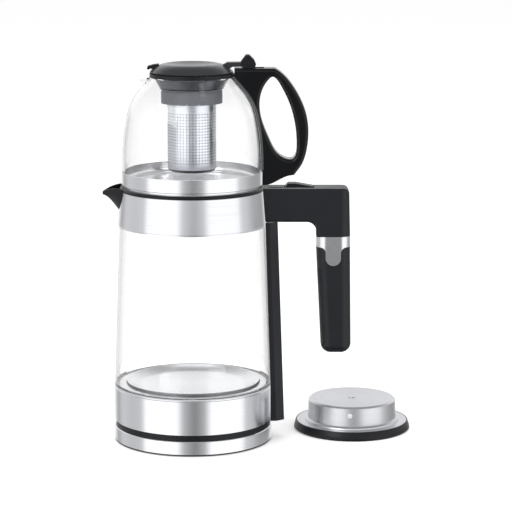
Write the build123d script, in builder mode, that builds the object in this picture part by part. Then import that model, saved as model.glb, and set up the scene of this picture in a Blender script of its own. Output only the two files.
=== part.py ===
from build123d import *
import math
import os

# Two-tier tea maker: a glass kettle on a round power base, with a glass teapot standing on the
# kettle's mouth and the kettle's own lid lying upside down beside it.
# Millimetres, +Z up. The origin is the centre of the anti-slip ring, on the table.
# The handles point along +X and the spouts along -X.

os.makedirs("parts", exist_ok=True)

# Fits
slip = 0.15  # radial gap of pieces that are pushed together and stay put
running = 0.05  # radial gap of a pin in its bore
clear = 0.4  # gap between pieces that turn or lift past each other
seam = 0.3  # gap between a curved wall and what follows it
through = 1.0  # how far a cutting shape runs past the face it opens

# Power base
base_radius = 74.2
band_wall = 0.6
band_edge = 0.5
foot_drop = 0.8
foot_inset = 6.7
foot_width = 5.0
foot_groove = 0.6
foot_chamfer = 0.3
cover_wall = 2.0
band_lift = 1.2
base_band_height = 12.3
band_lip = 1.8
seat_rise = 3.1
seat_width = 11.0
dish_depth = 2.0
gap_inset = 1.2
upstand_wall = 1.8
upstand_height = 8.9
skirt_wall = 2.8
screw_circle = 45.0
screw_count = 3
screw_start = 30.0
screw_radius = 1.5
screw_length = 9.0
head_radius = 2.9
head_height = 1.6
boss_radius = 5.0
boss_height = 3.2
inlet_height = 6.8
inlet_radius = 2.8
inlet_wall = 1.1
inlet_flange = 13.0
inlet_flange_wall = 2.0

# Connector that lets the kettle turn on its base
pillar_radius = 16.6
pillar_rise = 10.4
pillar_edge = 1.0
pillar_flange = 4.0
pillar_flange_wall = 2.0
slot_depth = 12.8
pin_slot_radius = 3.0
live_slot_radius = 8.0
live_slot_width = 2.4
earth_slot_radius = 12.6
earth_slot_width = 2.1
contact_wall = 0.5
contact_recess = 3.0
blade_wall = 0.6
centre_blade_radius = 1.6
blade_gap = 2.0
socket_wall = 6.2
socket_roof = 3.2
socket_lift = 0.6
socket_flange = 2.6
socket_flange_wall = 1.7

# Kettle foot
kettle_gap = 2.9
kettle_band_height = 31.8
cover_rise = 6.5
hub_wall = 2.4
hub_height = 4.4
plate_wall = 0.8
dish_radius = 44.0
dish_slope = 6.0
plate_drop = 8.1
shelf_rise = 2.6
groove_depth = 1.2
groove_inset = 12.4
groove_width = 3.0
plate_rim = 6.5
spreader_inset = 1.0
spreader_wall = 2.8
element_radius = 33.0
element_width = 7.0
element_height = 6.8
element_gap = 60.0
terminal_radius = 2.4
terminal_length = 7.0
control_side = 38.0
control_corner = 4.0
control_height = 8.0
gasket_height = 1.0
gasket_overlap = 0.8

# Kettle glass, collar and rim
glass_inset = 0.3
glass_wall = 3.0
glass_taper = 6.15
glass_height = 158.0
collar_overlap = 7.4
collar_height = 32.9
collar_stand = 1.55
collar_taper = 2.4
collar_wall = 0.7
collar_roll = 0.2
collar_roll_height = 1.0
rim_height = 3.2
rim_wall = 2.2
rim_edge = 1.0
mouth_radius = 44.6
mouth_wall = 2.0
mouth_depth = 15.0
skirt_gap = 1.0
rim_skirt_wall = 3.0

# Kettle spout
spout_length = 14.1
spout_root = 6.0
spout_half_width = 23.0
spout_depth = 30.0
spout_wall = 1.8
spout_tip_drop = 5.0
spout_tip_half_width = 2.6
spout_tip_depth = 2.8
spout_slot_inset = 4.0

# Kettle handle
arm_step = 0.7
arm_height = 31.6
arm_half_width = 13.5
arm_wall = 3.0
arm_root = 7.0
arm_reach = 73.0
arm_edge = 1.2
arm_lower_edge = 3.0
elbow_inside = 9.0
elbow_outside = 5.0
arm_lean = 1.3
neck_width = 31.7
neck_drop = 13.8
pad_length = 14.0
pad_width = 12.0
pad_rise = 0.6
pad_corner = 2.0
grip_band_height = 10.0
grip_band_wall = 1.2
tongue_radius = 7.1
tongue_drop = 27.2
tongue_flare = 5.0
grip_length = 101.2
grip_taper = 5.1
grip_lean = 1.4
grip_side_taper = 1.5
grip_corner = 9.5
grip_foot_round = 9.0
spigot_inset = 5.6
spigot_corner = 3.0
spigot_length = 22.0

# Power switch
rocker_margin = 2.9
rocker_length = 25.8
rocker_rise = 3.9
rocker_half_width = 6.0
rocker_pivot_back = 9.6
rocker_pivot_drop = 4.3
rocker_boss = 3.2
pin_radius = 1.5
pin_end = 1.2
switch_gap = 1.2
module_length = 20.0
module_width = 14.0
module_height = 14.0
module_setback = 0.2

# Wire channel on the kettle's back
channel_lift = 19.0
channel_foot_depth = 11.8
channel_head_depth = 10.3
channel_half_width = 15.0
channel_face_half_width = 9.0
channel_shoulder = 7.4
channel_wall = 2.0
lead_radius = 1.4
lead_bend = 4.0

# Teapot
pot_lip_height = 2.4
pot_lip_inset = 1.6
pot_lip_wall = 1.0
pot_ring_wall = 0.75
pot_ring_height = 12.5
pot_ring_edge = 0.4
pot_wall = 2.3
pot_radius = 64.8
pot_corner = 6.0
pot_height = 99.05
pot_side = 22.0
pot_shoulder_inset = 4.5
pot_shoulder_drop = 35.8
pot_crown_radius = 48.6
pot_crown_drop = 12.2
pot_neck_radius = 38.6
pour_reach = 10.0
pour_half_width = 10.0
pour_depth = 9.0
pour_tip_half_width = 2.6
pour_tip_depth = 3.4
pour_wall = 1.5
neck_band_stand = 0.3
neck_band_height = 3.4
neck_band_wall = 2.3
neck_band_floor = 1.8
neck_band_inset = 3.6
ear_length = 6.6
ear_width = 12.0
ear_drop = 0.8

# Teapot handle
loop_reach = 41.9
loop_half_width = 10.0
loop_round = 3.0
hinge_back = 12.5
hinge_rise = 2.0
handle_rise = 2.4
knuckle_radius = 4.2
lever_half_width = 5.0
lever_height = 14.4
lever_round = 1.4
lever_gap = 1.0
lever_setback = 1.9
slot_sink = 2.6
parting_width = 0.4
parting_depth = 0.3

# Teapot lid
pot_lid_inset = 0.15
pot_lid_height = 8.2
pot_lid_wall = 2.6
pot_lid_edge = 0.8
pot_dish_radius = 24.5
pot_dish_depth = 2.6
plug_clearance = 1.5
plug_step = 0.8
plug_wall = 3.4
plug_drop = 3.4
tab_half_width = 4.0
tab_length = 11.0
tongue_root = 11.75
tongue_sink = 1.8

# Infuser
collar_inset = 6.0
infuser_wall = 1.6
cone_height = 11.6
ring_height = 12.6
ring_wall = 5.3
cone_step = 0.9
waist_height = 2.2
waist_depth = 0.6
flange_wall = 1.2
basket_radius = 22.7
basket_wall = 0.6
basket_stand = 9.15  # gap under the basket, to the pot's floor
basket_sink = 5.2
basket_corner = 4.0
lug_count = 3
lug_start = -86.0
lug_width = 8.0
lug_reach = 2.3
lug_drop = 2.6
lug_height = 1.8
entry_width = 10.6
nick_width = 0.9
nick_height = 1.7
twist = 25.0
hole_rows = 6
hole_columns = 12
hole_pitch = 7.6
hole_radius = 1.6
hole_margin = 12.3

# Kettle lid, lying upside down beside the base
lid_gap = 21.8
lid_y = 35.0
lid_radius = 55.6
lid_rim_height = 8.6
lid_rim_edge = 1.4
lid_rim_lean = 0.5
lid_rim_lip = 1.0
lid_rim_wall = 3.0
lid_flange_inset = 3.0
lid_wall = 0.8
drum_gap = 2.2
drum_taper = 0.8
drum_height = 21.1
drum_root = 2.6
drum_edge = 1.6
nub_rise = 12.7
nub_angle = -5.2
nub_radius = 2.8
nub_head = 1.2
nub_proud = 2.2
nub_round = 1.9
nub_travel = 1.6
carrier_width = 8.0
carrier_height = 6.0
rivet_radius = 1.5
rivet_head_radius = 2.9
rivet_head_height = 0.5


def turn(outline, x=0.0, y=0.0, mode=Mode.ADD):
    """Revolve a closed outline of (radius, height) points about a vertical axis."""
    with BuildSketch(Plane(origin=(x, y, 0), x_dir=(1, 0, 0), z_dir=(0, -1, 0))) as section:
        with BuildLine():
            Polyline(*outline, close=True)
        make_face()
    revolve(section.sketch, axis=Axis((x, y, 0), (0, 0, 1)), mode=mode)


def disc(radius, bottom, top, mode=Mode.ADD):
    """A plain disc about the main axis."""
    turn([(0, bottom), (radius, bottom), (radius, top), (0, top)], mode=mode)


def ring(inner, outer, bottom, top, mode=Mode.ADD):
    """A square-edged ring about the main axis."""
    turn([(inner, bottom), (outer, bottom), (outer, top), (inner, top)], mode=mode)


def around(radius, bottom, height, mode=Mode.ADD):
    """A round post at each screw."""
    with BuildSketch(Plane.XY.offset(bottom)) as posts:
        with PolarLocations(screw_circle, screw_count, start_angle=screw_start):
            Circle(radius)
    extrude(posts.sketch, amount=height, mode=mode)


# ---------------------------------------------------------------- power base

foot_radius = base_radius - foot_inset
foot_inner = foot_radius - foot_width / 2
foot_outer = foot_radius + foot_width / 2
cover_bottom = foot_drop
cover_top = cover_bottom + cover_wall
band_bottom = cover_bottom + band_lift
base_band_top = band_bottom + base_band_height
seat_level = base_band_top + seat_rise
band_inside = base_radius - band_wall
upstand_radius = band_inside - slip
upstand_inside = upstand_radius - upstand_wall
upstand_top = band_bottom + upstand_height
gap_radius = base_radius - gap_inset
dish_top = seat_level - dish_depth
dish_underside = dish_top - cover_wall
boss_top = cover_top + boss_height

with BuildPart() as foot_ring:
    ring(foot_inner, foot_outer, 0, foot_drop + foot_groove)
    chamfer(foot_ring.edges().group_by(Axis.Z)[0], foot_chamfer)

with BuildPart() as base_cover:
    turn(
        [
            (0, cover_bottom),
            (base_radius - slip, cover_bottom),
            (base_radius - slip, band_bottom),
            (upstand_radius, band_bottom),
            (upstand_radius, upstand_top),
            (upstand_inside, upstand_top),
            (upstand_inside, cover_top),
            (0, cover_top),
        ]
    )
    ring(foot_inner - slip, foot_outer + slip, cover_bottom, cover_bottom + foot_groove, Mode.SUBTRACT)
    around(boss_radius, cover_top, boss_height)
    around(head_radius + slip, cover_bottom, head_height + seam, Mode.SUBTRACT)
    around(screw_radius + slip, cover_bottom, boss_top - cover_bottom, Mode.SUBTRACT)
    with BuildSketch(Plane.XZ.offset(-base_radius - through)):
        with Locations((0, inlet_height)):
            Circle(inlet_radius + inlet_wall + slip)
    extrude(amount=base_radius - upstand_inside + 2 * through, mode=Mode.SUBTRACT)

with BuildPart() as base_screws:
    around(head_radius, cover_bottom + seam, head_height)
    around(screw_radius, cover_bottom + seam + head_height, screw_length)

with BuildPart() as base_band:
    turn(
        [
            (band_inside, band_bottom),
            (base_radius, band_bottom),
            (base_radius, base_band_top - band_edge),
            (base_radius - band_edge, base_band_top),
            (base_radius - band_lip, base_band_top),
            (base_radius - band_lip, base_band_top - band_wall),
            (band_inside, base_band_top - band_wall),
        ]
    )
    with BuildSketch(Plane.XZ.offset(-base_radius - through)):
        with Locations((0, inlet_height)):
            Circle(inlet_radius + inlet_wall + slip)
    extrude(amount=band_wall + 3 * through, mode=Mode.SUBTRACT)

with BuildPart() as base_top:
    skirt_outside = base_radius - band_lip - slip
    skirt_inside = skirt_outside - skirt_wall
    turn(
        [
            (pillar_radius + slip, dish_underside),
            (skirt_inside, dish_underside),
            (skirt_inside, upstand_top),
            (skirt_outside, upstand_top),
            (skirt_outside, base_band_top),
            (gap_radius, base_band_top),
            (gap_radius, seat_level),
            (gap_radius - seat_width, seat_level),
            (gap_radius - seat_width - dish_depth, dish_top),
            (pillar_radius + slip, dish_top),
        ]
    )
    around(boss_radius, boss_top, dish_underside - boss_top)
    around(screw_radius + running, boss_top, cover_bottom + seam + head_height + screw_length - boss_top,
           Mode.SUBTRACT)

with BuildPart() as cord_inlet:
    flange_face = math.sqrt((upstand_inside - slip) ** 2 - (inlet_flange / 2) ** 2)
    flange_back = flange_face - inlet_flange_wall
    bush_end = base_radius - clear
    with BuildSketch(Plane.XZ.offset(-bush_end)):
        with Locations((0, inlet_height)):
            Circle(inlet_radius + inlet_wall)
    extrude(amount=bush_end - flange_back)
    with BuildSketch(Plane.XZ.offset(-flange_face)):
        with Locations((0, inlet_height)):
            Rectangle(inlet_flange, 2 * (inlet_radius + inlet_wall))
    extrude(amount=inlet_flange_wall)
    with BuildSketch(Plane.XZ.offset(-base_radius)):
        with Locations((0, inlet_height)):
            Circle(inlet_radius)
    extrude(amount=base_radius - flange_back + 2 * through, mode=Mode.SUBTRACT)

# ---------------------------------------------------------------- connector

pillar_top = seat_level + pillar_rise
slot_floor = pillar_top - slot_depth
live_slot_outer = live_slot_radius + live_slot_width
earth_slot_outer = earth_slot_radius + earth_slot_width

with BuildPart() as connector_pillar:
    turn(
        [
            (0, cover_top),
            (pillar_radius, cover_top),
            (pillar_radius, dish_underside - pillar_flange_wall),
            (pillar_radius + pillar_flange, dish_underside - pillar_flange_wall),
            (pillar_radius + pillar_flange, dish_underside),
            (pillar_radius, dish_underside),
            (pillar_radius, pillar_top - pillar_edge),
            (pillar_radius - pillar_edge, pillar_top),
            (0, pillar_top),
        ]
    )
    disc(pin_slot_radius, slot_floor, pillar_top, mode=Mode.SUBTRACT)
    ring(live_slot_radius, live_slot_outer, slot_floor, pillar_top, mode=Mode.SUBTRACT)
    ring(earth_slot_radius, earth_slot_outer, slot_floor, pillar_top, mode=Mode.SUBTRACT)

with BuildPart() as base_contacts:
    for wall in (pin_slot_radius, live_slot_outer, earth_slot_outer):
        ring(wall - running - contact_wall, wall - running, slot_floor, pillar_top - contact_recess)

socket_inside = pillar_radius + 2 * clear
socket_outside = socket_inside + socket_wall
socket_ceiling = pillar_top + 2 * clear
socket_top = socket_ceiling + socket_roof
hub_level = seat_level + hub_height

with BuildPart() as connector_socket:
    turn(
        [
            (0, socket_ceiling),
            (socket_inside, socket_ceiling),
            (socket_inside, seat_level + socket_lift),
            (socket_outside, seat_level + socket_lift),
            (socket_outside, hub_level + seam),
            (socket_outside + socket_flange, hub_level + seam),
            (socket_outside + socket_flange, hub_level + seam + socket_flange_wall),
            (socket_outside, hub_level + seam + socket_flange_wall),
            (socket_outside, socket_top),
            (0, socket_top),
        ]
    )

with BuildPart() as socket_contacts:
    blade_bottom = slot_floor + blade_gap
    disc(centre_blade_radius, blade_bottom, socket_ceiling)
    for inner in (live_slot_radius, earth_slot_radius):
        ring(inner + clear, inner + clear + blade_wall, blade_bottom, socket_ceiling)

# ---------------------------------------------------------------- kettle, bottom

kettle_band_bottom = seat_level + kettle_gap
kettle_band_top = kettle_band_bottom + kettle_band_height
plate_level = kettle_band_top + plate_wall
dish_floor = kettle_band_top - plate_drop
glass_foot_radius = base_radius - glass_inset
glass_bottom = plate_level + gasket_height
glass_top = glass_bottom + glass_height
spreader_top = dish_floor - plate_wall
spreader_bottom = spreader_top - spreader_wall
lead_level = spreader_bottom - control_height / 2

with BuildPart() as bottom_cover:
    cover_outside = band_inside - slip
    hub_inside = socket_outside + clear
    turn(
        [
            (hub_inside, seat_level),
            (gap_radius, seat_level),
            (gap_radius, kettle_band_bottom),
            (cover_outside, kettle_band_bottom + slip),
            (cover_outside, kettle_band_bottom + cover_rise),
            (cover_outside - upstand_wall, kettle_band_bottom + cover_rise),
            (cover_outside - upstand_wall, seat_level + cover_wall),
            (hub_inside + hub_wall, seat_level + cover_wall),
            (hub_inside + hub_wall, hub_level),
            (hub_inside, hub_level),
        ]
    )

with BuildPart() as kettle_band:
    turn(
        [
            (band_inside, kettle_band_bottom),
            (base_radius, kettle_band_bottom),
            (base_radius, kettle_band_top - band_edge),
            (base_radius - band_edge, kettle_band_top),
            (glass_foot_radius - plate_rim + 2 * band_wall, kettle_band_top),
            (glass_foot_radius - plate_rim + 2 * band_wall, kettle_band_top - band_wall),
            (band_inside, kettle_band_top - band_wall),
        ]
    )
    with BuildSketch(Plane.YZ.offset(band_inside - through)):
        with Locations((0, lead_level)):
            Circle(lead_radius + clear)
    extrude(amount=band_wall + 2 * through, mode=Mode.SUBTRACT)

with BuildPart() as heating_plate:
    shelf = dish_floor + shelf_rise
    groove = shelf - groove_depth
    groove_inner = glass_foot_radius - groove_inset
    groove_outer = groove_inner + groove_width
    slope = 1.5
    edge = 0.2
    turn(
        [
            (0, dish_floor),
            (dish_radius, dish_floor),
            (dish_radius + dish_slope, shelf),
            (groove_inner - slope, shelf),
            (groove_inner, groove),
            (groove_outer, groove),
            (groove_outer + slope, shelf),
            (glass_foot_radius - plate_rim, plate_level),
            (glass_foot_radius, plate_level),
            (glass_foot_radius, kettle_band_top),
            (glass_foot_radius - plate_rim + plate_wall, kettle_band_top),
            (groove_outer + slope + plate_wall, shelf - edge),
            (groove_outer + edge, groove - plate_wall),
            (groove_inner - edge, groove - plate_wall),
            (groove_inner - slope - edge, shelf - plate_wall),
            (dish_radius + dish_slope + edge, shelf - plate_wall),
            (dish_radius + edge, spreader_top),
            (0, spreader_top),
        ]
    )

with BuildPart() as heat_spreader:
    disc(dish_radius - spreader_inset, spreader_bottom, spreader_top)

with BuildPart() as heating_element:
    turn_start = Plane.XZ.rotated((0, 0, element_gap / 2))
    bottom = spreader_bottom - element_height
    with BuildSketch(turn_start):
        with BuildLine():
            Polyline(
                (element_radius - element_width / 2, spreader_bottom),
                (element_radius + element_width / 2, spreader_bottom),
                (element_radius + element_width / 2, spreader_bottom - element_height / 2),
                (element_radius + element_width / 4, bottom),
                (element_radius - element_width / 4, bottom),
                (element_radius - element_width / 2, spreader_bottom - element_height / 2),
                close=True,
            )
        make_face()
    revolve(axis=Axis.Z, revolution_arc=360 - element_gap)
    terminal_turn = element_gap / 2 + math.degrees(terminal_radius / element_radius) + 1
    with BuildSketch(Plane.XY.offset(bottom)):
        with PolarLocations(element_radius, 2, start_angle=terminal_turn, angular_range=-4 * terminal_turn):
            Circle(terminal_radius - slip)
    extrude(amount=-terminal_length)

with BuildPart() as thermostat:
    with BuildSketch(Plane.XY.offset(spreader_bottom - control_height)):
        RectangleRounded(control_side, control_side, control_corner)
    extrude(amount=control_height)

with BuildPart() as base_gasket:
    ring(glass_foot_radius - glass_wall - gasket_overlap, glass_foot_radius, plate_level, glass_bottom)

# ---------------------------------------------------------------- kettle, glass and collar

glass_head_radius = glass_foot_radius - glass_taper
collar_bottom = glass_top - collar_overlap
collar_top = collar_bottom + collar_height
collar_foot_radius = glass_head_radius + collar_stand
collar_head_radius = collar_foot_radius - collar_taper
rim_top = collar_top + rim_height
spout_slot_half_width = spout_half_width - spout_slot_inset
spout_slot_depth = spout_depth / 2


def collar_cone(bottom, top):
    """The space inside the collar's outer face and its seam, to cut pieces that lie against it."""
    taper = collar_taper / collar_height
    outline = [(0, bottom), (0, top)]
    for level in (top, bottom):
        outline.append((collar_foot_radius - taper * (level - collar_bottom) + seam, level))
    turn(outline, mode=Mode.SUBTRACT)


with BuildPart() as kettle_glass:
    turn(
        [
            (glass_foot_radius - glass_wall, glass_bottom),
            (glass_foot_radius, glass_bottom),
            (glass_head_radius, glass_top),
            (glass_head_radius - glass_wall, glass_top),
        ]
    )

with BuildPart() as collar_gasket:
    ring(
        glass_head_radius - glass_wall - gasket_overlap,
        glass_head_radius - seam,
        glass_top,
        glass_top + gasket_height,
    )

with BuildPart() as kettle_collar:
    roll_top = collar_bottom + collar_roll_height
    turn(
        [
            (collar_foot_radius - collar_wall - collar_roll, collar_bottom),
            (collar_foot_radius + collar_roll, collar_bottom),
            (collar_foot_radius + collar_roll, roll_top),
            (collar_foot_radius, roll_top + collar_roll),
            (collar_head_radius, collar_top),
            (collar_head_radius - collar_wall, collar_top),
            (collar_foot_radius - collar_wall, roll_top + collar_roll),
        ]
    )
    with BuildSketch(Plane.YZ.offset(-collar_foot_radius - 2 * through)):
        with BuildLine():
            Polyline(
                (spout_slot_half_width, collar_top + through),
                (spout_slot_half_width / 2, collar_top - spout_slot_depth),
                (-spout_slot_half_width / 2, collar_top - spout_slot_depth),
                (-spout_slot_half_width, collar_top + through),
                close=True,
            )
        make_face()
    extrude(amount=10 * through, mode=Mode.SUBTRACT)

with BuildPart() as rim_ring:
    rim_skirt_outside = glass_head_radius - glass_wall - skirt_gap
    rim_skirt_inside = rim_skirt_outside - slip
    skirt_bottom = glass_top + gasket_height
    inside_collar = collar_head_radius - collar_wall - slip
    turn(
        [
            (mouth_radius, rim_top - rim_edge),
            (mouth_radius + rim_edge, rim_top),
            (collar_head_radius - rim_edge, rim_top),
            (collar_head_radius, rim_top - rim_edge),
            (collar_head_radius, collar_top),
            (inside_collar, collar_top),
            (inside_collar, collar_top - 2 * rim_skirt_wall),
            (rim_skirt_inside + rim_skirt_wall, skirt_bottom),
            (rim_skirt_inside, skirt_bottom),
            (rim_skirt_inside, rim_top - rim_wall),
            (mouth_radius + mouth_wall, rim_top - rim_wall),
            (mouth_radius + mouth_wall, rim_top - mouth_depth),
            (mouth_radius, rim_top - mouth_depth),
        ]
    )
    with BuildSketch(Plane.YZ.offset(-collar_foot_radius)):
        with Locations((0, rim_top - rim_wall)):
            Rectangle(
                2 * (spout_slot_half_width - arm_wall),
                spout_slot_depth,
                align=(Align.CENTER, Align.MAX),
            )
    extrude(amount=collar_foot_radius - mouth_radius - 3 * mouth_wall, mode=Mode.SUBTRACT)

# ---------------------------------------------------------------- kettle spout

spout_reach = collar_foot_radius + spout_length
spout_foot = collar_head_radius - spout_root

with BuildPart() as spout:
    body_share = (0.0, 0.356, 0.733, 1.0)  # where the sections stand between root and tip
    width_share = (1.0, 0.72, 0.36)
    depth_share = (1.0, 0.685, 0.30)
    for inside in (0.0, spout_wall):
        sections = []
        for index, share in enumerate(body_share):
            reach = spout_foot + share * (spout_reach - spout_foot)
            drop = share**3 * spout_tip_drop
            if index < 3:
                half_width = spout_half_width * width_share[index]
                depth = spout_depth * depth_share[index]
            else:
                half_width = spout_tip_half_width
                depth = spout_tip_depth
            top = rim_top - drop + inside
            bottom = rim_top - drop - depth + inside
            half = max(half_width - inside, spout_tip_half_width - spout_wall)
            keel = 0.3 * half
            middle = (top + bottom) / 2
            with BuildSketch(Plane.YZ.offset(-reach - 0.5 * inside)) as section:
                with BuildLine():
                    side = Spline((half, top), (half * 0.86, middle), (keel, bottom))
                    Line(side @ 1, (-keel, bottom))
                    other = Spline((-keel, bottom), (-half * 0.86, middle), (-half, top))
                    Line(other @ 1, side @ 0)
                make_face()
            sections.append(section.sketch.face())
        loft(sections, mode=Mode.SUBTRACT if inside else Mode.ADD)
    collar_cone(collar_bottom - spout_root, rim_top + spout_root)

# ---------------------------------------------------------------- kettle handle

arm_top = rim_top - arm_step
arm_bottom = arm_top - arm_height
arm_start = collar_head_radius - arm_root
neck_right = base_radius + arm_reach
neck_left = neck_right - neck_width
neck_centre = (neck_left + neck_right) / 2
neck_bottom = arm_bottom - neck_drop
rocker_right = neck_left - rocker_margin
rocker_left = rocker_right - rocker_length
pivot_x = rocker_right - rocker_pivot_back
pivot_z = arm_top - rocker_pivot_drop
spigot_width = neck_width - 2 * spigot_inset
spigot_depth = 2 * (arm_half_width - spigot_inset)
channel_foot_reach = base_radius + channel_foot_depth
channel_head_reach = collar_foot_radius + channel_head_depth
lead_foot_x = base_radius + channel_foot_depth / 2 - 1
lead_head_x = channel_head_reach - channel_wall - 2 * lead_radius
module_left = rocker_left + module_setback
module_level = arm_bottom + arm_wall

with BuildPart() as handle_arm:
    with BuildSketch(Plane.XZ):
        with BuildLine():
            FilletPolyline(
                (arm_start, arm_bottom),
                (neck_left, arm_bottom),
                (neck_left, neck_bottom),
                radius=elbow_inside,
            )
            Line((neck_left, neck_bottom), (neck_right, neck_bottom))
            FilletPolyline(
                (neck_right, neck_bottom),
                (neck_right - arm_lean, arm_top),
                (arm_start, arm_top),
                radius=elbow_outside,
            )
            Line((arm_start, arm_top), (arm_start, arm_bottom))
        make_face()
    extrude(amount=arm_half_width, both=True)
    with BuildSketch(Plane.XY.offset(neck_bottom - through)):
        with Locations((neck_right + slip, 0)):
            RectangleRounded(
                2 * neck_right, 2 * arm_half_width, grip_corner, align=(Align.MAX, Align.CENTER)
            )
    extrude(amount=arm_top - neck_bottom + 2 * through, mode=Mode.INTERSECT)
    top_edges = handle_arm.edges().filter_by(
        lambda e: e.center().Z > arm_top - elbow_outside + 1
        and abs(e.center().Y) > arm_half_width / 3
        and e.center().X > arm_start + 1
    )
    fillet(top_edges, arm_edge)
    lower_edges = handle_arm.edges().filter_by(
        lambda e: abs(abs(e.center().Y) - arm_half_width) < 0.1
        and e.center().Z < arm_bottom + 1
        and e.center().X < neck_left + 0.5
        and e.length > 2
    )
    fillet(lower_edges, arm_lower_edge)
    with BuildSketch(Plane.XY.offset(arm_top)):
        with Locations((rocker_left - switch_gap - pad_corner / 2 - pad_length / 2, 0)):
            RectangleRounded(pad_length, pad_width, pad_corner)
    extrude(amount=pad_rise)
    collar_cone(arm_bottom - through, arm_top + 2 * through)
    cavity_left = collar_foot_radius + arm_wall + 1
    cavity_right = rocker_right + 2
    with BuildSketch(Plane.XY.offset(module_level)):
        with Locations(((cavity_left + cavity_right) / 2, 0)):
            Rectangle(cavity_right - cavity_left, 2 * (arm_half_width - arm_wall))
    extrude(amount=arm_height - 2 * arm_wall - 1, mode=Mode.SUBTRACT)
    with BuildSketch(Plane.XY.offset(arm_top - arm_wall - 2)):
        with Locations(((rocker_left + rocker_right) / 2, 0)):
            Rectangle(rocker_length + 2 * switch_gap, 2 * (rocker_half_width + clear))
    extrude(amount=2 * arm_wall, mode=Mode.SUBTRACT)
    with BuildSketch(Plane.XY.offset(arm_bottom - through)):
        with Locations((lead_head_x, 0)):
            Rectangle(2 * (lead_radius + clear), 4 * lead_radius)
    extrude(amount=arm_wall + 2 * through, mode=Mode.SUBTRACT)
    with BuildSketch(Plane.XZ.offset(-arm_half_width + pin_end - slip)):
        with Locations((pivot_x, pivot_z)):
            Circle(pin_radius + running)
    extrude(amount=2 * (arm_half_width - pin_end + slip), mode=Mode.SUBTRACT)
    with BuildSketch(Plane.XY.offset(neck_bottom)):
        with Locations((neck_centre, 0)):
            RectangleRounded(spigot_width, spigot_depth, spigot_corner)
    extrude(amount=-spigot_length)


def tongue_outline(grow=0.0):
    """The steel band from the front: a straight band that flows into a round-ended tongue."""
    band_foot = neck_bottom - grip_band_height - grow
    tongue_centre = neck_bottom - tongue_drop + tongue_radius
    half_width = tongue_radius + grow
    with BuildSketch(Plane.XZ) as outline:
        with Locations((neck_centre, neck_bottom)):
            Rectangle(neck_width + 2 * through, neck_bottom - band_foot, align=(Align.CENTER, Align.MAX))
            Rectangle(2 * half_width, neck_bottom - tongue_centre, align=(Align.CENTER, Align.MAX))
        with Locations((neck_centre, tongue_centre)):
            Circle(half_width)
        inner_corners = outline.vertices().filter_by(
            lambda v: abs(abs(v.X - neck_centre) - half_width) < 0.1 and abs(v.Y - band_foot) < 0.1
        )
        fillet(inner_corners, tongue_flare - grow)
    return outline.sketch


with BuildPart() as grip_band:
    with BuildSketch(Plane.XY.offset(neck_bottom - tongue_drop)):
        with Locations((neck_centre, 0)):
            RectangleRounded(neck_width, 2 * arm_half_width, grip_corner)
            RectangleRounded(
                neck_width - 2 * grip_band_wall,
                2 * (arm_half_width - grip_band_wall),
                grip_corner - grip_band_wall,
                mode=Mode.SUBTRACT,
            )
    extrude(amount=tongue_drop)
    extrude(tongue_outline(), amount=arm_half_width + through, both=True, mode=Mode.INTERSECT)

with BuildPart(mode=Mode.PRIVATE) as tongue_room:
    recess = grip_band_wall + slip
    with BuildSketch(Plane.XY.offset(neck_bottom - tongue_drop - through)):
        with Locations((neck_centre, 0)):
            Rectangle(neck_width + 2 * through, 2 * (arm_half_width + through))
            RectangleRounded(
                neck_width - 2 * recess,
                2 * (arm_half_width - recess),
                grip_corner - recess,
                mode=Mode.SUBTRACT,
            )
    extrude(amount=tongue_drop)
    extrude(tongue_outline(slip), amount=arm_half_width + 2 * through, both=True, mode=Mode.INTERSECT)

with BuildPart() as grip:
    grip_top = neck_bottom - grip_band_height - seam
    grip_bottom = grip_top - grip_length
    foot_left = neck_left + grip_taper
    foot_right = neck_right + grip_lean
    with BuildSketch(Plane.XY.offset(grip_top)):
        with Locations((neck_centre, 0)):
            RectangleRounded(neck_width, 2 * arm_half_width, grip_corner)
    with BuildSketch(Plane.XY.offset(grip_bottom)):
        with Locations(((foot_left + foot_right) / 2, 0)):
            RectangleRounded(foot_right - foot_left, 2 * (arm_half_width - grip_side_taper), grip_corner)
    loft()
    fillet(grip.edges().group_by(Axis.Z)[0], grip_foot_round)
    add(tongue_room.part, mode=Mode.SUBTRACT)
    with BuildSketch(Plane.XY.offset(grip_top)):
        with Locations((neck_centre, 0)):
            RectangleRounded(spigot_width + 2 * slip, spigot_depth + 2 * slip, spigot_corner)
    extrude(amount=-(spigot_length - grip_band_height), mode=Mode.SUBTRACT)

# ---------------------------------------------------------------- power switch


def on_rocker(out, up):
    """A point of the rocker's outline, as shares of its length and of its rise over the arm."""
    return (rocker_left + out * rocker_length, arm_top + up * rocker_rise)


with BuildPart() as switch_rocker:
    with BuildSketch(Plane.XZ):
        with BuildLine():
            Polyline(
                on_rocker(0.0, -0.85),
                on_rocker(0.0, 0.36),
                on_rocker(0.09, 1.0),
                on_rocker(0.37, 1.0),
                on_rocker(1.0, 0.26),
                on_rocker(1.0, -0.51),
                (pivot_x + rocker_boss / 2, pivot_z - rocker_boss),
                (pivot_x - rocker_boss / 2, pivot_z - rocker_boss),
                close=True,
            )
        make_face()
    extrude(amount=rocker_half_width, both=True)
    with BuildSketch(Plane.XZ.offset(-arm_half_width)):
        with Locations((pivot_x, pivot_z)):
            Circle(pin_radius + running)
    extrude(amount=2 * arm_half_width, mode=Mode.SUBTRACT)

with BuildPart() as rocker_pin:
    with BuildSketch(Plane.XZ.offset(-arm_half_width + pin_end)):
        with Locations((pivot_x, pivot_z)):
            Circle(pin_radius)
    extrude(amount=2 * (arm_half_width - pin_end))

with BuildPart() as switch_module:
    with BuildSketch(Plane.XY.offset(module_level)):
        with Locations((module_left + module_length / 2, 0)):
            RectangleRounded(module_length, module_width, 1)
    extrude(amount=module_height)

# ---------------------------------------------------------------- wire channel

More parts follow.
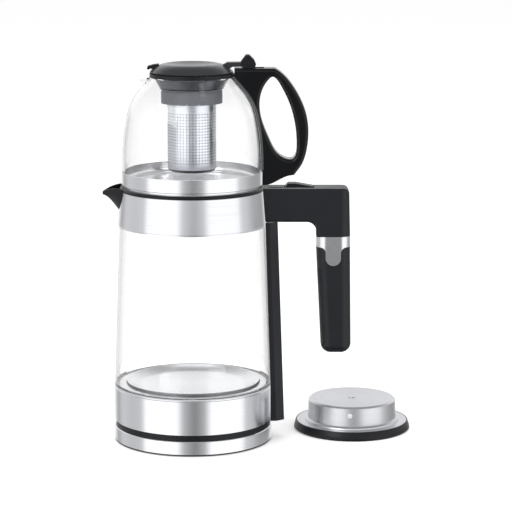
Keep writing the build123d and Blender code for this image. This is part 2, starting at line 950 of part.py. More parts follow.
with BuildPart() as wire_channel:
    for inside in (0.0, channel_wall):
        sections = []
        for level, reach in (
            (channel_lift + inside, channel_foot_reach - inside),
            (arm_bottom + inside / 2, channel_head_reach - inside),
        ):
            face_half = channel_face_half_width - 0.6 * inside
            shoulder_x = reach - channel_shoulder + 0.6 * inside
            back_half = channel_half_width - inside
            back_x = arm_start - inside
            with BuildSketch(Plane.XY.offset(level)) as section:
                with BuildLine():
                    Polyline(
                        (back_x, back_half),
                        (shoulder_x, back_half),
                        (reach, face_half),
                        (reach, -face_half),
                        (shoulder_x, -back_half),
                        (back_x, -back_half),
                        close=True,
                    )
                make_face()
            sections.append(section.sketch.face())
        loft(sections, mode=Mode.SUBTRACT if inside else Mode.ADD)
    collar_clear = collar_foot_radius + collar_roll + seam
    turn(
        [
            (0, 0),
            (base_radius + seam, 0),
            (base_radius + seam, glass_bottom),
            (collar_clear, collar_bottom - band_edge),
            (collar_clear, arm_bottom + 2 * through),
            (0, arm_bottom + 2 * through),
        ],
        mode=Mode.SUBTRACT,
    )

with BuildPart() as switch_leads:
    module_middle = module_level + module_height / 2
    with BuildLine():
        route = FilletPolyline(
            (control_side / 2, 0, lead_level),
            (lead_foot_x, 0, lead_level),
            (lead_head_x, 0, module_middle),
            (module_left, 0, module_middle),
            radius=lead_bend,
        )
    with BuildSketch(Plane(origin=route @ 0, z_dir=route % 0)):
        Circle(lead_radius)
    sweep()

# ---------------------------------------------------------------- teapot

pot_ring_radius = pot_radius + slip + pot_ring_wall
pot_ring_bottom = rim_top + pot_lip_height
pot_ring_top = pot_ring_bottom + pot_ring_height
pot_floor = pot_ring_bottom + pot_ring_wall
pot_top = pot_floor + pot_height
pot_foot_radius = pot_radius - pot_lip_inset
neck_band_radius = pot_neck_radius + neck_band_stand
neck_band_top = pot_top + neck_band_height
infuser_seat = pot_top + neck_band_floor
pot_lid_bottom = neck_band_top + clear
hinge_x = neck_band_radius + hinge_back
hinge_z = pot_lid_bottom + hinge_rise
handle_top = hinge_z + handle_rise


def pot_profile(grow=0.0):
    """Half section of the pot's solid outside, grown by a distance, or shrunk if it is negative."""
    side_top = (pot_radius, pot_floor + pot_side)
    shoulder = (pot_radius - pot_shoulder_inset, pot_top - pot_shoulder_drop)
    crown = (pot_crown_radius, pot_top - pot_crown_drop)
    neck = (pot_neck_radius, pot_top)
    lean = 2 * math.atan2(side_top[0] - shoulder[0], shoulder[1] - side_top[1])
    crown_lean = 2 * math.atan2(shoulder[0] - crown[0], crown[1] - shoulder[1]) - lean

    def out(point, angle):
        return (point[0] + grow * math.cos(angle), point[1] + grow * math.sin(angle))

    with BuildSketch(Plane.XZ) as section:
        with BuildLine():
            bottom = pot_floor - grow
            corner = pot_corner + grow
            floor_edge = (pot_radius - pot_corner, bottom)
            Line((0, bottom), floor_edge)
            heel = JernArc(floor_edge, (1, 0), corner, 90)
            wall = Line(heel @ 1, out(side_top, 0))
            side = TangentArc(wall @ 1, out(shoulder, lean), tangent=(0, 1))
            dome = TangentArc(side @ 1, out(crown, crown_lean), tangent=side % 1)
            throat = Line(dome @ 1, out(neck, crown_lean))
            end = throat @ 1
            top = pot_top
            if grow:
                top = pot_top + through
                Line(end, (end.X, top))
            Line((end.X, top), (0, top))
            Line((0, top), (0, bottom))
        make_face()
    return section.sketch


with BuildPart() as teapot_glass:
    revolve(pot_profile(), axis=Axis.Z)
    for inside in (0.0, pour_wall):
        sections = []
        for reach, half_width, depth in (
            (pot_neck_radius - pour_half_width, pour_half_width, pour_depth),
            (pot_neck_radius + pour_reach, pour_tip_half_width, pour_tip_depth),
        ):
            top = pot_top - seam + inside
            bottom = pot_top - seam - depth + inside
            half = half_width - inside
            with BuildSketch(Plane.YZ.offset(-reach)) as section:
                with BuildLine():
                    Polyline(
                        (half, top),
                        (half, top - depth / 3),
                        (half / 2, bottom),
                        (-half / 2, bottom),
                        (-half, top - depth / 3),
                        (-half, top),
                        close=True,
                    )
                make_face()
            sections.append(section.sketch.face())
        loft(sections, mode=Mode.SUBTRACT if inside else Mode.ADD)
    revolve(pot_profile(-pot_wall), axis=Axis.Z, mode=Mode.SUBTRACT)

with BuildPart() as teapot_ring:
    ring_inside = pot_radius + slip
    lip_inside = pot_foot_radius - pot_lip_wall
    turn(
        [
            (lip_inside, rim_top),
            (pot_foot_radius, rim_top),
            (pot_foot_radius, pot_ring_bottom),
            (pot_ring_radius - pot_ring_edge, pot_ring_bottom),
            (pot_ring_radius, pot_ring_bottom + pot_ring_edge),
            (pot_ring_radius, pot_ring_top),
            (ring_inside, pot_ring_top),
            (ring_inside, pot_floor + pot_corner),
            (ring_inside - pot_corner / 2, pot_floor),
            (lip_inside, pot_floor),
        ]
    )
    revolve(pot_profile(running), axis=Axis.Z, mode=Mode.SUBTRACT)

with BuildPart() as neck_band:
    band_bore = pot_neck_radius - neck_band_inset
    step_bore = neck_band_radius - neck_band_wall
    turn(
        [
            (band_bore, pot_top),
            (neck_band_radius, pot_top),
            (neck_band_radius, neck_band_top),
            (step_bore, neck_band_top),
            (step_bore, infuser_seat),
            (band_bore, infuser_seat),
        ]
    )
    with BuildSketch(Plane.XY.offset(pot_top)):
        with Locations((neck_band_radius - through, 0)):
            Rectangle(ear_length, ear_width, align=(Align.MIN, Align.CENTER))
    extrude(amount=neck_band_height - ear_drop)


def on_loop(out, up):
    """A point of the handle's outline, as shares of its reach and height."""
    heel = pot_ring_bottom + clear / 2
    return (pot_ring_radius + out * loop_reach, heel + up * (handle_top - heel))


with BuildPart() as teapot_handle:
    loop_left = neck_band_radius + 2 * seam
    inside_pot = 0.6 * pot_radius
    with BuildSketch(Plane.XZ):
        with BuildLine():
            back = Spline(
                on_loop(0.265, 1.0),
                on_loop(0.690, 0.833),
                on_loop(0.952, 0.615),
                on_loop(1.0, 0.388),
                on_loop(0.842, 0.160),
                on_loop(0.695, 0.082),
                tangents=((1, -0.55), (-0.7, -1)),
            )
            heel = Spline(
                back @ 1,
                on_loop(0.484, 0.067),
                on_loop(0.270, 0.024),
                on_loop(-0.040, 0.0),
            )
            Polyline(
                heel @ 1,
                (inside_pot, (heel @ 1).Y),
                (inside_pot, pot_top - 1.2 * pot_shoulder_drop),
                (loop_left, pot_top),
                (loop_left, handle_top),
                back @ 0,
            )
        make_face()
        with BuildLine():
            Spline(
                on_loop(0.165, 0.918),
                on_loop(-0.050, 0.768),
                on_loop(-0.055, 0.610),
                on_loop(0.146, 0.388),
                on_loop(0.403, 0.245),
                on_loop(0.642, 0.221),
                on_loop(0.747, 0.378),
                on_loop(0.666, 0.601),
                on_loop(0.422, 0.835),
                periodic=True,
            )
        make_face(mode=Mode.SUBTRACT)
    extrude(amount=loop_half_width, both=True)
    side_edges = teapot_handle.edges().filter_by(lambda e: abs(abs(e.center().Y) - loop_half_width) < 0.1)
    hole_rims = side_edges.filter_by(lambda e: e.length > 1.5 * pot_height)
    fillet(hole_rims, loop_round)
    back_rims = teapot_handle.edges().filter_by(
        lambda e: abs(abs(e.center().Y) - loop_half_width) < 0.1
        and (e.center().X > pot_ring_radius + 0.7 * loop_reach or e.center().Z > handle_top - 1)
    )
    fillet(back_rims, loop_round)
    revolve(pot_profile(seam), axis=Axis.Z, mode=Mode.SUBTRACT)
    disc(pot_ring_radius + seam, pot_ring_bottom - through, pot_ring_top + seam, mode=Mode.SUBTRACT)
    disc(loop_left, pot_top - through, handle_top + through, mode=Mode.SUBTRACT)
    with BuildSketch(Plane.XY.offset(pot_top - slip)):
        with Locations((neck_band_radius - through, 0)):
            Rectangle(ear_length + slip, ear_width + 2 * slip, align=(Align.MIN, Align.CENTER))
    extrude(amount=neck_band_height - ear_drop + 2 * slip, mode=Mode.SUBTRACT)
    slot_half = lever_half_width + clear
    slot_left = hinge_x - knuckle_radius - lever_gap
    slot_right = hinge_x + lever_height + lever_gap
    slot_floor_level = hinge_z - knuckle_radius - slot_sink
    with BuildSketch(Plane.XZ.offset(-slot_half)):
        with BuildLine():
            Polyline(
                (slot_left, handle_top + 2 * through),
                (slot_left, hinge_z - knuckle_radius - lever_gap / 2),
                (hinge_x, slot_floor_level),
                (slot_right - 0.4 * lever_height, slot_floor_level),
                (slot_right, hinge_z),
                (slot_right, handle_top + 2 * through),
                close=True,
            )
        make_face()
    extrude(amount=2 * slot_half, mode=Mode.SUBTRACT)
    with BuildSketch(Plane.XZ.offset(-loop_half_width + pin_end - slip)):
        with Locations((hinge_x, hinge_z)):
            Circle(pin_radius + running)
    extrude(amount=2 * (loop_half_width - pin_end + slip), mode=Mode.SUBTRACT)
    # the parting line of the mould runs down both cheeks from the hinge
    with BuildSketch(Plane.XY.offset(pot_top - 2 * pot_crown_drop)):
        with Locations((hinge_x, loop_half_width), (hinge_x, -loop_half_width)):
            Rectangle(parting_width, 2 * parting_depth)
    extrude(amount=handle_top + through - pot_top + 2 * pot_crown_drop, mode=Mode.SUBTRACT)

with BuildPart() as hinge_pin:
    with BuildSketch(Plane.XZ.offset(-loop_half_width + pin_end)):
        with Locations((hinge_x, hinge_z)):
            Circle(pin_radius)
    extrude(amount=2 * (loop_half_width - pin_end))

# ---------------------------------------------------------------- teapot lid

pot_lid_radius = neck_band_radius - pot_lid_inset
pot_lid_crown = pot_lid_bottom + pot_lid_height
pot_dish_floor = pot_lid_crown - pot_dish_depth
dish_curve = (pot_dish_radius**2 + pot_dish_depth**2) / (2 * pot_dish_depth)
dish_angle = math.degrees(math.asin(pot_dish_radius / dish_curve))
lid_underside = pot_lid_bottom + pot_lid_wall
collar_mouth = neck_band_radius - collar_inset
plug_radius = collar_mouth - plug_clearance
lever_front = hinge_x - knuckle_radius - lever_setback


def on_crown(inward, up):
    """A point of the lid's sloping top, as shares of its width and height."""
    return (
        pot_lid_radius - inward * (pot_lid_radius - pot_dish_radius),
        pot_lid_bottom + up * pot_lid_height,
    )


def on_lever(out, up):
    """A point of the thumb lever's outline, as shares of its height over the hinge."""
    return (hinge_x + out * lever_height, hinge_z + up * lever_height)


def on_tab(out, up):
    """A point of the front tab's outline, from the lid's lip, as shares of tab length and lid height."""
    return (out * tab_length - pot_lid_radius, pot_lid_bottom + up * pot_lid_height)


with BuildPart() as teapot_lid:
    lip_x = pot_lid_radius
    with BuildSketch(Plane.XZ):
        with BuildLine():
            Polyline(
                (0, lid_underside),
                (plug_radius + plug_step, lid_underside),
                (plug_radius + 2 * plug_step, pot_lid_bottom),
                (lip_x - pot_lid_edge, pot_lid_bottom),
                (lip_x, pot_lid_bottom + pot_lid_edge),
            )
            dish = JernArc((0, pot_dish_floor), (1, 0), dish_curve, dish_angle)
            Spline(
                (lip_x, pot_lid_bottom + pot_lid_edge),
                on_crown(0.26, 0.49),
                on_crown(0.61, 0.83),
                dish @ 1,
            )
            Line((0, pot_dish_floor), (0, lid_underside))
        make_face()
    revolve(axis=Axis.Z)
    tongue_half = lever_half_width - clear
    with BuildSketch(Plane.XZ.offset(-tongue_half)):
        with BuildLine():
            Polyline(
                (lip_x - tongue_root, pot_lid_crown - tongue_sink),
                (lip_x - tongue_root / 2, on_lever(0, 0.53)[1]),
                (lever_front, on_lever(0, 0.54)[1]),
                (lever_front, on_lever(0, 0.26)[1]),
                (loop_left - seam * 5, on_lever(0, 0.24)[1]),
                on_crown(0.33, 0.41),
                close=True,
            )
        make_face()
    extrude(amount=2 * tongue_half)

with BuildPart() as thumb_lever:
    with BuildSketch(Plane.XZ.offset(-lever_half_width)):
        with BuildLine():
            Polyline(
                (lever_front, on_lever(0, 0.25)[1]),
                (lever_front, on_lever(0, 0.56)[1]),
                on_lever(-0.1, 1.0),
                on_lever(0.12, 1.0),
                on_lever(0.43, 0.69),
                on_lever(0.56, 0.39),
                on_lever(0.51, 0.25),
                (hinge_x + knuckle_radius - seam, hinge_z),
                (hinge_x - knuckle_radius + seam, hinge_z),
                (hinge_x - knuckle_radius + seam, on_lever(0, 0.25)[1]),
                close=True,
            )
        make_face()
        with Locations((hinge_x, hinge_z)):
            Circle(knuckle_radius)
    extrude(amount=2 * lever_half_width)
    crown_edges = thumb_lever.edges().filter_by(Axis.Y).filter_by(
        lambda e: e.center().Z > hinge_z + lever_height / 2
    )
    fillet(crown_edges, lever_round)
    with BuildSketch(Plane.XZ.offset(-lever_half_width - through)):
        with Locations((hinge_x, hinge_z)):
            Circle(pin_radius + running)
    extrude(amount=2 * (lever_half_width + through), mode=Mode.SUBTRACT)

with BuildPart() as lid_tab:
    with BuildSketch(Plane.XZ.offset(-tab_half_width)):
        with BuildLine():
            Polyline(
                on_tab(-0.22, 0.44),
                on_tab(-0.15, 0.73),
                on_tab(0.29, 0.90),
                on_tab(0.78, 0.98),
                on_tab(0.78, 0.66),
                on_tab(0.32, 0.39),
                on_tab(0.07, 0.46),
                on_tab(-0.08, 0.34),
                close=True,
            )
        make_face()
    extrude(amount=2 * tab_half_width)
    add(teapot_lid.part, mode=Mode.SUBTRACT)

with BuildPart() as lid_seal:
    ring(plug_radius - plug_wall, plug_radius, pot_lid_bottom - plug_drop, lid_underside)

# ---------------------------------------------------------------- infuser

cone_foot_level = pot_top - cone_height
ring_bottom = cone_foot_level - ring_height
ring_bore = basket_radius + clear
ring_radius = ring_bore + ring_wall
basket_top = cone_foot_level - basket_sink
basket_bottom = pot_floor + pot_wall + basket_stand
lug_bottom = basket_top - lug_drop
groove_radius = basket_radius + lug_reach + clear

with BuildPart() as infuser_collar:
    throat_level = pot_top - infuser_wall
    flange_radius = step_bore - slip
    flange_top = infuser_seat + flange_wall
    turn(
        [
            (ring_bore, ring_bottom),
            (ring_radius, ring_bottom),
            (ring_radius, cone_foot_level - waist_height),
            (ring_radius - waist_depth, cone_foot_level - waist_height + waist_depth),
            (ring_radius - waist_depth, cone_foot_level - waist_height / 3),
            (ring_radius + cone_step, cone_foot_level),
            (collar_mouth + infuser_wall, throat_level),
            (collar_mouth + infuser_wall, infuser_seat),
            (flange_radius, infuser_seat),
            (flange_radius, flange_top),
            (collar_mouth, flange_top),
            (collar_mouth, throat_level),
            (ring_radius - 2 * cone_step, cone_foot_level),
            (ring_bore, basket_top + clear),
        ]
    )
    ring(
        basket_radius,
        groove_radius,
        lug_bottom - clear,
        lug_bottom + lug_height + clear,
        mode=Mode.SUBTRACT,
    )
    with BuildSketch(Plane.XY.offset(ring_bottom)):
        with PolarLocations(groove_radius, lug_count, start_angle=lug_start):
            Rectangle(2 * lug_reach, entry_width, align=(Align.MAX, Align.CENTER))
    extrude(amount=lug_bottom - ring_bottom, mode=Mode.SUBTRACT)
    # nicks at the skirt's foot show where each lug enters
    with BuildSketch(Plane.XY.offset(ring_bottom)):
        with PolarLocations(ring_radius, lug_count, start_angle=lug_start):
            with Locations((0, entry_width / 2), (0, -entry_width / 2)):
                Rectangle(2 * ring_wall, nick_width)
    extrude(amount=nick_height, mode=Mode.SUBTRACT)

with BuildPart() as infuser_basket:
    disc(basket_radius, basket_bottom, basket_top)
    fillet(infuser_basket.edges().group_by(Axis.Z)[0], basket_corner)
    offset(amount=-basket_wall, openings=infuser_basket.faces().sort_by(Axis.Z)[-1])
    with BuildSketch(Plane.XY.offset(lug_bottom)):
        with PolarLocations(basket_radius - basket_wall / 2, lug_count, start_angle=lug_start + twist):
            Rectangle(lug_reach + basket_wall, lug_width, align=(Align.MIN, Align.CENTER))
        Circle(basket_radius + lug_reach, mode=Mode.INTERSECT)
        Circle(basket_radius - basket_wall / 2, mode=Mode.SUBTRACT)
    extrude(amount=lug_height)
    middle_row = basket_bottom + hole_margin + hole_pitch * (hole_rows - 1) / 2
    for column in range(hole_columns // 2):
        angle = math.radians(column * 360 / hole_columns)
        outward = (math.cos(angle), math.sin(angle), 0)
        across = (-math.sin(angle), math.cos(angle), 0)
        with BuildSketch(Plane(origin=(0, 0, middle_row), x_dir=across, z_dir=outward)):
            with GridLocations(hole_pitch, hole_pitch, 1, hole_rows):
                RegularPolygon(hole_radius, 6)
        extrude(amount=basket_radius + through, both=True, mode=Mode.SUBTRACT)

# ---------------------------------------------------------------- kettle lid

lid_x = base_radius + lid_gap + lid_radius
lid_flange_radius = lid_radius - lid_flange_inset
flange_bottom = lid_rim_height - lid_wall
drum_foot_radius = mouth_radius - drum_gap
drum_head_radius = drum_foot_radius - drum_taper
drum_top = lid_rim_height + drum_height
nub_level = lid_rim_height + nub_rise

with BuildPart() as lid_rim:
    seat_bore = drum_foot_radius - drum_gap
    turn(
        [
            (0, 0),
            (lid_radius - lid_rim_edge, 0),
            (lid_radius, lid_rim_edge),
            (lid_radius - lid_rim_lean, lid_rim_height / 2),
            (lid_flange_radius + lid_rim_lip, lid_rim_height),
            (lid_flange_radius + slip, lid_rim_height),
            (lid_flange_radius + slip, flange_bottom),
            (seat_bore, flange_bottom),
            (seat_bore, lid_rim_wall),
            (0, lid_rim_wall),
        ],
        lid_x,
        lid_y,
    )


def on_root(out, up):
    """A point of the bend between the lid's flange and its drum, as shares of the bend's size."""
    return (drum_foot_radius + out * drum_root, lid_rim_height + up * drum_root)


with BuildPart() as lid_pan:
    turn(
        [
            (lid_flange_radius, flange_bottom),
            (lid_flange_radius, lid_rim_height),
            on_root(1.0, 0.0),
            on_root(0.85, 0.46),
            on_root(0.46, 0.69),
            on_root(0.0, 1.0),
            (drum_head_radius, drum_top - drum_edge),
            (drum_head_radius - drum_edge, drum_top),
            (0, drum_top),
            (0, drum_top - lid_wall),
            (drum_head_radius - drum_edge - seam, drum_top - lid_wall),
            (drum_head_radius - lid_wall, drum_top - drum_edge - seam),
            (drum_foot_radius - lid_wall, on_root(0, 0.85)[1]),
            on_root(0.23, 0.42),
            on_root(0.54, 0.23),
            (on_root(0.69, 0)[0], flange_bottom),
        ],
        lid_x,
        lid_y,
    )
    nub_line = math.radians(-90 + nub_angle)
    nub_out = Vector(math.cos(nub_line), math.sin(nub_line), 0)
    with BuildSketch(Plane(origin=(lid_x, lid_y, nub_level), z_dir=nub_out)):
        Circle(nub_radius + 2 * running)
    extrude(amount=drum_foot_radius + through, both=True, mode=Mode.SUBTRACT)
    with BuildSketch(Plane.XY.offset(drum_top - lid_wall - through)):
        with Locations((lid_x, lid_y)):
            Circle(rivet_radius + running)
    extrude(amount=lid_wall + 2 * through, mode=Mode.SUBTRACT)

nubs = {}
shoulder = drum_head_radius - lid_wall - nub_head
lid_axis = Vector(lid_x, lid_y, nub_level)
for nub_name, direction in (("front_nub", nub_out), ("rear_nub", -nub_out)):
    with BuildPart() as nub:
        with BuildSketch(Plane(origin=lid_axis + direction * (shoulder - nub_head), z_dir=direction)):
            Circle(nub_radius + nub_head)
        extrude(amount=nub_head)
        with BuildSketch(Plane(origin=lid_axis + direction * shoulder, z_dir=direction)):
            Circle(nub_radius)
        extrude(amount=drum_head_radius - shoulder + nub_proud)
        tip_edges = nub.edges().filter_by(
            lambda e: (e.center() - lid_axis).length > drum_head_radius + nub_round / 2
        )
        fillet(tip_edges, nub_round)
    nubs[nub_name] = nub.part

with BuildPart() as nub_carrier:
    carrier_reach = shoulder - nub_head - nub_travel - 2 * clear
    with BuildSketch(Plane.XY.offset(nub_level)):
        with Locations(Location((lid_x, lid_y, 0), (0, 0, nub_angle))):
            Rectangle(carrier_width, 2 * carrier_reach)
    extrude(amount=carrier_height / 2, both=True)

with BuildPart() as lid_rivet:
    with BuildSketch(Plane.XY.offset(drum_top)):
        with Locations((lid_x, lid_y)):
            Circle(rivet_head_radius)
    extrude(amount=rivet_head_height)
    with BuildSketch(Plane.XY.offset(drum_top)):
        with Locations((lid_x, lid_y)):
            Circle(rivet_radius)
    extrude(amount=-(drum_top - nub_level - carrier_height / 2))

# ---------------------------------------------------------------- files

pieces = {
    "foot_ring": foot_ring.part,
    "base_cover": base_cover.part,
    "base_screws": base_screws.part,
    "base_band": base_band.part,
    "base_top": base_top.part,
    "cord_inlet": cord_inlet.part,
    "connector_pillar": connector_pillar.part,
    "base_contacts": base_contacts.part,
    "connector_socket": connector_socket.part,
    "socket_contacts": socket_contacts.part,
    "bottom_cover": bottom_cover.part,
    "kettle_band": kettle_band.part,
    "heating_plate": heating_plate.part,
    "heat_spreader": heat_spreader.part,
    "heating_element": heating_element.part,
    "thermostat": thermostat.part,
    "base_gasket": base_gasket.part,
    "kettle_glass": kettle_glass.part,
    "collar_gasket": collar_gasket.part,
    "kettle_collar": kettle_collar.part,
    "rim_ring": rim_ring.part,
    "spout": spout.part,
    "handle_arm": handle_arm.part,
    "grip_band": grip_band.part,
    "grip": grip.part,
    "switch_rocker": switch_rocker.part,
    "rocker_pin": rocker_pin.part,
    "switch_module": switch_module.part,
    "wire_channel": wire_channel.part,
    "switch_leads": switch_leads.part,
    "teapot_glass": teapot_glass.part,
    "teapot_ring": teapot_ring.part,
    "neck_band": neck_band.part,
    "teapot_handle": teapot_handle.part,
    "hinge_pin": hinge_pin.part,
    "teapot_lid": teapot_lid.part,
    "thumb_lever": thumb_lever.part,
    "lid_tab": lid_tab.part,
    "lid_seal": lid_seal.part,
    "infuser_collar": infuser_collar.part,
    "infuser_basket": infuser_basket.part,
    "lid_rim": lid_rim.part,
    "lid_pan": lid_pan.part,
    "front_nub": nubs["front_nub"],
    "rear_nub": nubs["rear_nub"],
    "nub_carrier": nub_carrier.part,
    "lid_rivet": lid_rivet.part,
}
for name, piece in pieces.items():
    piece.label = name
    export_step(piece, f"parts/{name}.step")
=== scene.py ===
import math

import bmesh
import bpy
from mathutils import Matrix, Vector


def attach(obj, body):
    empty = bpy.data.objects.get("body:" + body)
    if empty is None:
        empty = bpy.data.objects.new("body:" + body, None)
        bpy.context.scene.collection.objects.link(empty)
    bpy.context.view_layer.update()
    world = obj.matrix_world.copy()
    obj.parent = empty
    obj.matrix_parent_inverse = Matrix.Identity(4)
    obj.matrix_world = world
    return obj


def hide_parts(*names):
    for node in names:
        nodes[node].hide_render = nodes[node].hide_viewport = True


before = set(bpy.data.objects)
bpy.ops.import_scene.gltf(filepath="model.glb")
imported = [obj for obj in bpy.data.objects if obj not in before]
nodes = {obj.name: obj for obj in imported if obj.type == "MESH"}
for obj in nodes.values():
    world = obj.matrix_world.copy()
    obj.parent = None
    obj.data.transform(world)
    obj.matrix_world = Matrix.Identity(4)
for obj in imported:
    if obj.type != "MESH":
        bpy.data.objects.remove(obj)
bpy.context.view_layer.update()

mm = 0.001  # sizes are in mm, unless a note says otherwise
lidCentre = (151.6, 35.0)  # axis of the loose lid


def hexColour(code):
    # sRGB hex to the linear values that shaders take
    values = []
    for start in (0, 2, 4):
        part = int(code[start : start + 2], 16) / 255
        values.append(part / 12.92 if part <= 0.04045 else ((part + 0.055) / 1.055) ** 2.4)
    return (*values, 1.0)


def addNode(tree, kind, settings=None, inputs=None):
    # one node: its settings by name, its inputs as values or as another node's output
    node = tree.nodes.new(kind)
    for key, value in (settings or {}).items():
        setattr(node, key, value)
    for key, value in (inputs or {}).items():
        if isinstance(value, bpy.types.NodeSocket):
            tree.links.new(value, node.inputs[key])
        else:
            node.inputs[key].default_value = value
    return node


def newObject(name, data):
    # an object at the origin, in the scene
    made = bpy.data.objects.new(name, data)
    bpy.context.scene.collection.objects.link(made)
    return made


def newSurface(name):
    # a new material with one Principled shader, and the object's own coordinates
    material = bpy.data.materials.new(name)
    material.use_nodes = True
    tree = material.node_tree
    tree.nodes.clear()
    shader = addNode(tree, "ShaderNodeBsdfPrincipled")
    output = addNode(tree, "ShaderNodeOutputMaterial", None, {"Surface": shader.outputs["BSDF"]})
    place = addNode(tree, "ShaderNodeTexCoord").outputs["Object"]
    return material, tree, shader, output, place


def rayTests(tree):
    # 1 or 0: is the ray the eye's own, also through clear glass, and was it mirrored on its way
    ray = addNode(tree, "ShaderNodeLightPath").outputs
    straight = addNode(
        tree,
        "ShaderNodeMath",
        {"operation": "MAXIMUM"},
        {0: ray["Is Camera Ray"], 1: ray["Is Transmission Ray"]},
    )
    mirrored = addNode(
        tree, "ShaderNodeMath", {"operation": "MINIMUM"}, {0: ray["Glossy Depth"], 1: 1.0}
    )
    return straight.outputs[0], mirrored.outputs[0]


white = hexColour("FFFFFF")

# Camera, a little above the table and far back, so that the bands stay almost level
cameraSetup = {
    "place": (0.0594, -2.090, 0.5605),  # metres
    "pitch": 10.47,  # degrees below level
    "lens": 159.6,
    "sensor": 36.0,
}

cameraData = bpy.data.cameras.new("camera")
cameraData.lens = cameraSetup["lens"]
cameraData.sensor_width = cameraSetup["sensor"]
cameraObject = newObject("camera", cameraData)
cameraObject.location = cameraSetup["place"]
cameraObject.rotation_euler = (math.radians(90 - cameraSetup["pitch"]), 0, 0)
bpy.context.scene.camera = cameraObject
bpy.context.scene.view_settings.view_transform = "Standard"

# Studio: white surroundings, soft lamps, and dimmer strips that only polished faces mirror
studio = {
    "ambient": 0.78,  # how bright matt faces see it, all round
    "brightest": 2.0,  # the ramp's white stands for this
    "strips": [  # turn from the front, in degrees, and how bright polished faces see that way
        (-180, 1.0),
        (-157, 0.95),
        (-143, 0.46),
        (-122, 0.74),
        (-98, 0.66),
        (-80, 0.70),
        (-72, 1.42),
        (-24, 1.45),
        (-11, 0.50),
        (4, 0.26),
        (17, 0.48),
        (29, 1.45),
        (76, 1.40),
        (86, 0.74),
        (118, 0.44),
        (143, 0.40),
        (157, 0.90),
        (180, 1.0),
    ],
    "zones": [  # sines of the angles above level at which each begins and is full, and its brightness
        (-0.06, 0.14, 1.14),  # white wall over the strips
        (0.36, 0.80, 0.42),  # dim ceiling
        (-0.62, -0.92, 0.05),  # dark room under the table
    ],
    "lamps": [  # name, place and size in metres, and power in watts
        ("keyLamp", (-1.5, -1.9, 1.7), (1.2, 1.6), 22),
        ("fillLamp", (1.7, -1.5, 1.2), (1.0, 1.4), 10),
        ("topLamp", (0.1, 0.3, 2.2), (1.6, 1.6), 12),
    ],
    "aim": (0.04, 0, 0.18),  # metres
    "mirroredLamp": "keyLamp",  # the one lamp that polished faces show
}

world = bpy.data.worlds.new("studioWorld")
bpy.context.scene.world = world
world.use_nodes = True
sky = world.node_tree
sky.nodes.clear()
outwards = addNode(sky, "ShaderNodeTexCoord").outputs["Generated"]
direction = addNode(sky, "ShaderNodeSeparateXYZ", None, {0: outwards})
toFront = addNode(sky, "ShaderNodeMath", {"operation": "MULTIPLY"}, {0: direction.outputs["Y"], 1: -1.0})
turnAngle = addNode(
    sky, "ShaderNodeMath", {"operation": "ARCTAN2"}, {0: direction.outputs["X"], 1: toFront.outputs[0]}
)
turnShare = addNode(
    sky,
    "ShaderNodeMapRange",
    None,
    {"Value": turnAngle.outputs[0], "From Min": -math.pi, "From Max": math.pi},
)
strips = addNode(sky, "ShaderNodeValToRGB", None, {"Fac": turnShare.outputs[0]})
ramp = strips.color_ramp
ramp.interpolation = "EASE"
while len(ramp.elements) < len(studio["strips"]):
    ramp.elements.new(0.5)  # the place is set just below
for element, (turn, level) in zip(ramp.elements, studio["strips"]):
    grey = level / studio["brightest"]
    element.position = (turn + 180) / 360
    element.color = (grey, grey, grey, 1)
mirroredLevel = addNode(
    sky,
    "ShaderNodeMath",
    {"operation": "MULTIPLY"},
    {0: strips.outputs["Color"], 1: studio["brightest"]},
)
for begins, full, level in studio["zones"]:
    share = addNode(
        sky,
        "ShaderNodeMapRange",
        {"interpolation_type": "SMOOTHSTEP"},
        {"Value": direction.outputs["Z"], "From Min": begins, "From Max": full},
    )
    mirroredLevel = addNode(
        sky,
        "ShaderNodeMix",
        {"data_type": "FLOAT"},
        {"Factor": share.outputs[0], "A": mirroredLevel.outputs[0], "B": level},
    )
straight, mirrored = rayTests(sky)
plainLevel = addNode(
    sky,
    "ShaderNodeMix",
    {"data_type": "FLOAT"},
    {"Factor": straight, "A": studio["ambient"], "B": 1.0},
)
strength = addNode(
    sky,
    "ShaderNodeMix",
    {"data_type": "FLOAT"},
    {"Factor": mirrored, "A": plainLevel.outputs[0], "B": mirroredLevel.outputs[0]},
)
surroundings = addNode(
    sky, "ShaderNodeBackground", None, {"Color": white, "Strength": strength.outputs[0]}
)
addNode(sky, "ShaderNodeOutputWorld", None, {"Surface": surroundings.outputs[0]})

for lampName, place, size, power in studio["lamps"]:
    lampData = bpy.data.lights.new(lampName, "AREA")
    lampData.shape = "RECTANGLE"
    lampData.size, lampData.size_y = size
    lampData.energy = power
    lamp = newObject(lampName, lampData)
    lamp.location = place
    lamp.rotation_euler = (Vector(studio["aim"]) - Vector(place)).to_track_quat("-Z", "Y").to_euler()
    lamp.visible_glossy = lampName == studio["mirroredLamp"]

# Table: white laminate, with a little light of its own towards the eye so that it meets the white wall
table = {"half": 12.0, "colour": "F6F6F6", "lift": 0.26}  # half its width in metres

tableMesh = bpy.data.meshes.new("table")
tableMesh.from_pydata(
    [(x * table["half"], y * table["half"], 0) for x, y in ((-1, -1), (1, -1), (1, 1), (-1, 1))],
    [],
    [(0, 1, 2, 3)],
)
tableTop = newObject("table", tableMesh)
laminate = bpy.data.materials.new("whiteLaminate")
laminate.use_nodes = True
tree = laminate.node_tree
tree.nodes.clear()
straight, mirrored = rayTests(tree)
matt = addNode(tree, "ShaderNodeBsdfDiffuse", None, {"Color": hexColour(table["colour"])})
lift = addNode(tree, "ShaderNodeMath", {"operation": "MULTIPLY"}, {0: straight, 1: table["lift"]})
glow = addNode(tree, "ShaderNodeEmission", None, {"Color": white, "Strength": lift.outputs[0]})
both = addNode(tree, "ShaderNodeAddShader", None, {0: matt.outputs[0], 1: glow.outputs[0]})
gone = addNode(tree, "ShaderNodeBsdfTransparent")
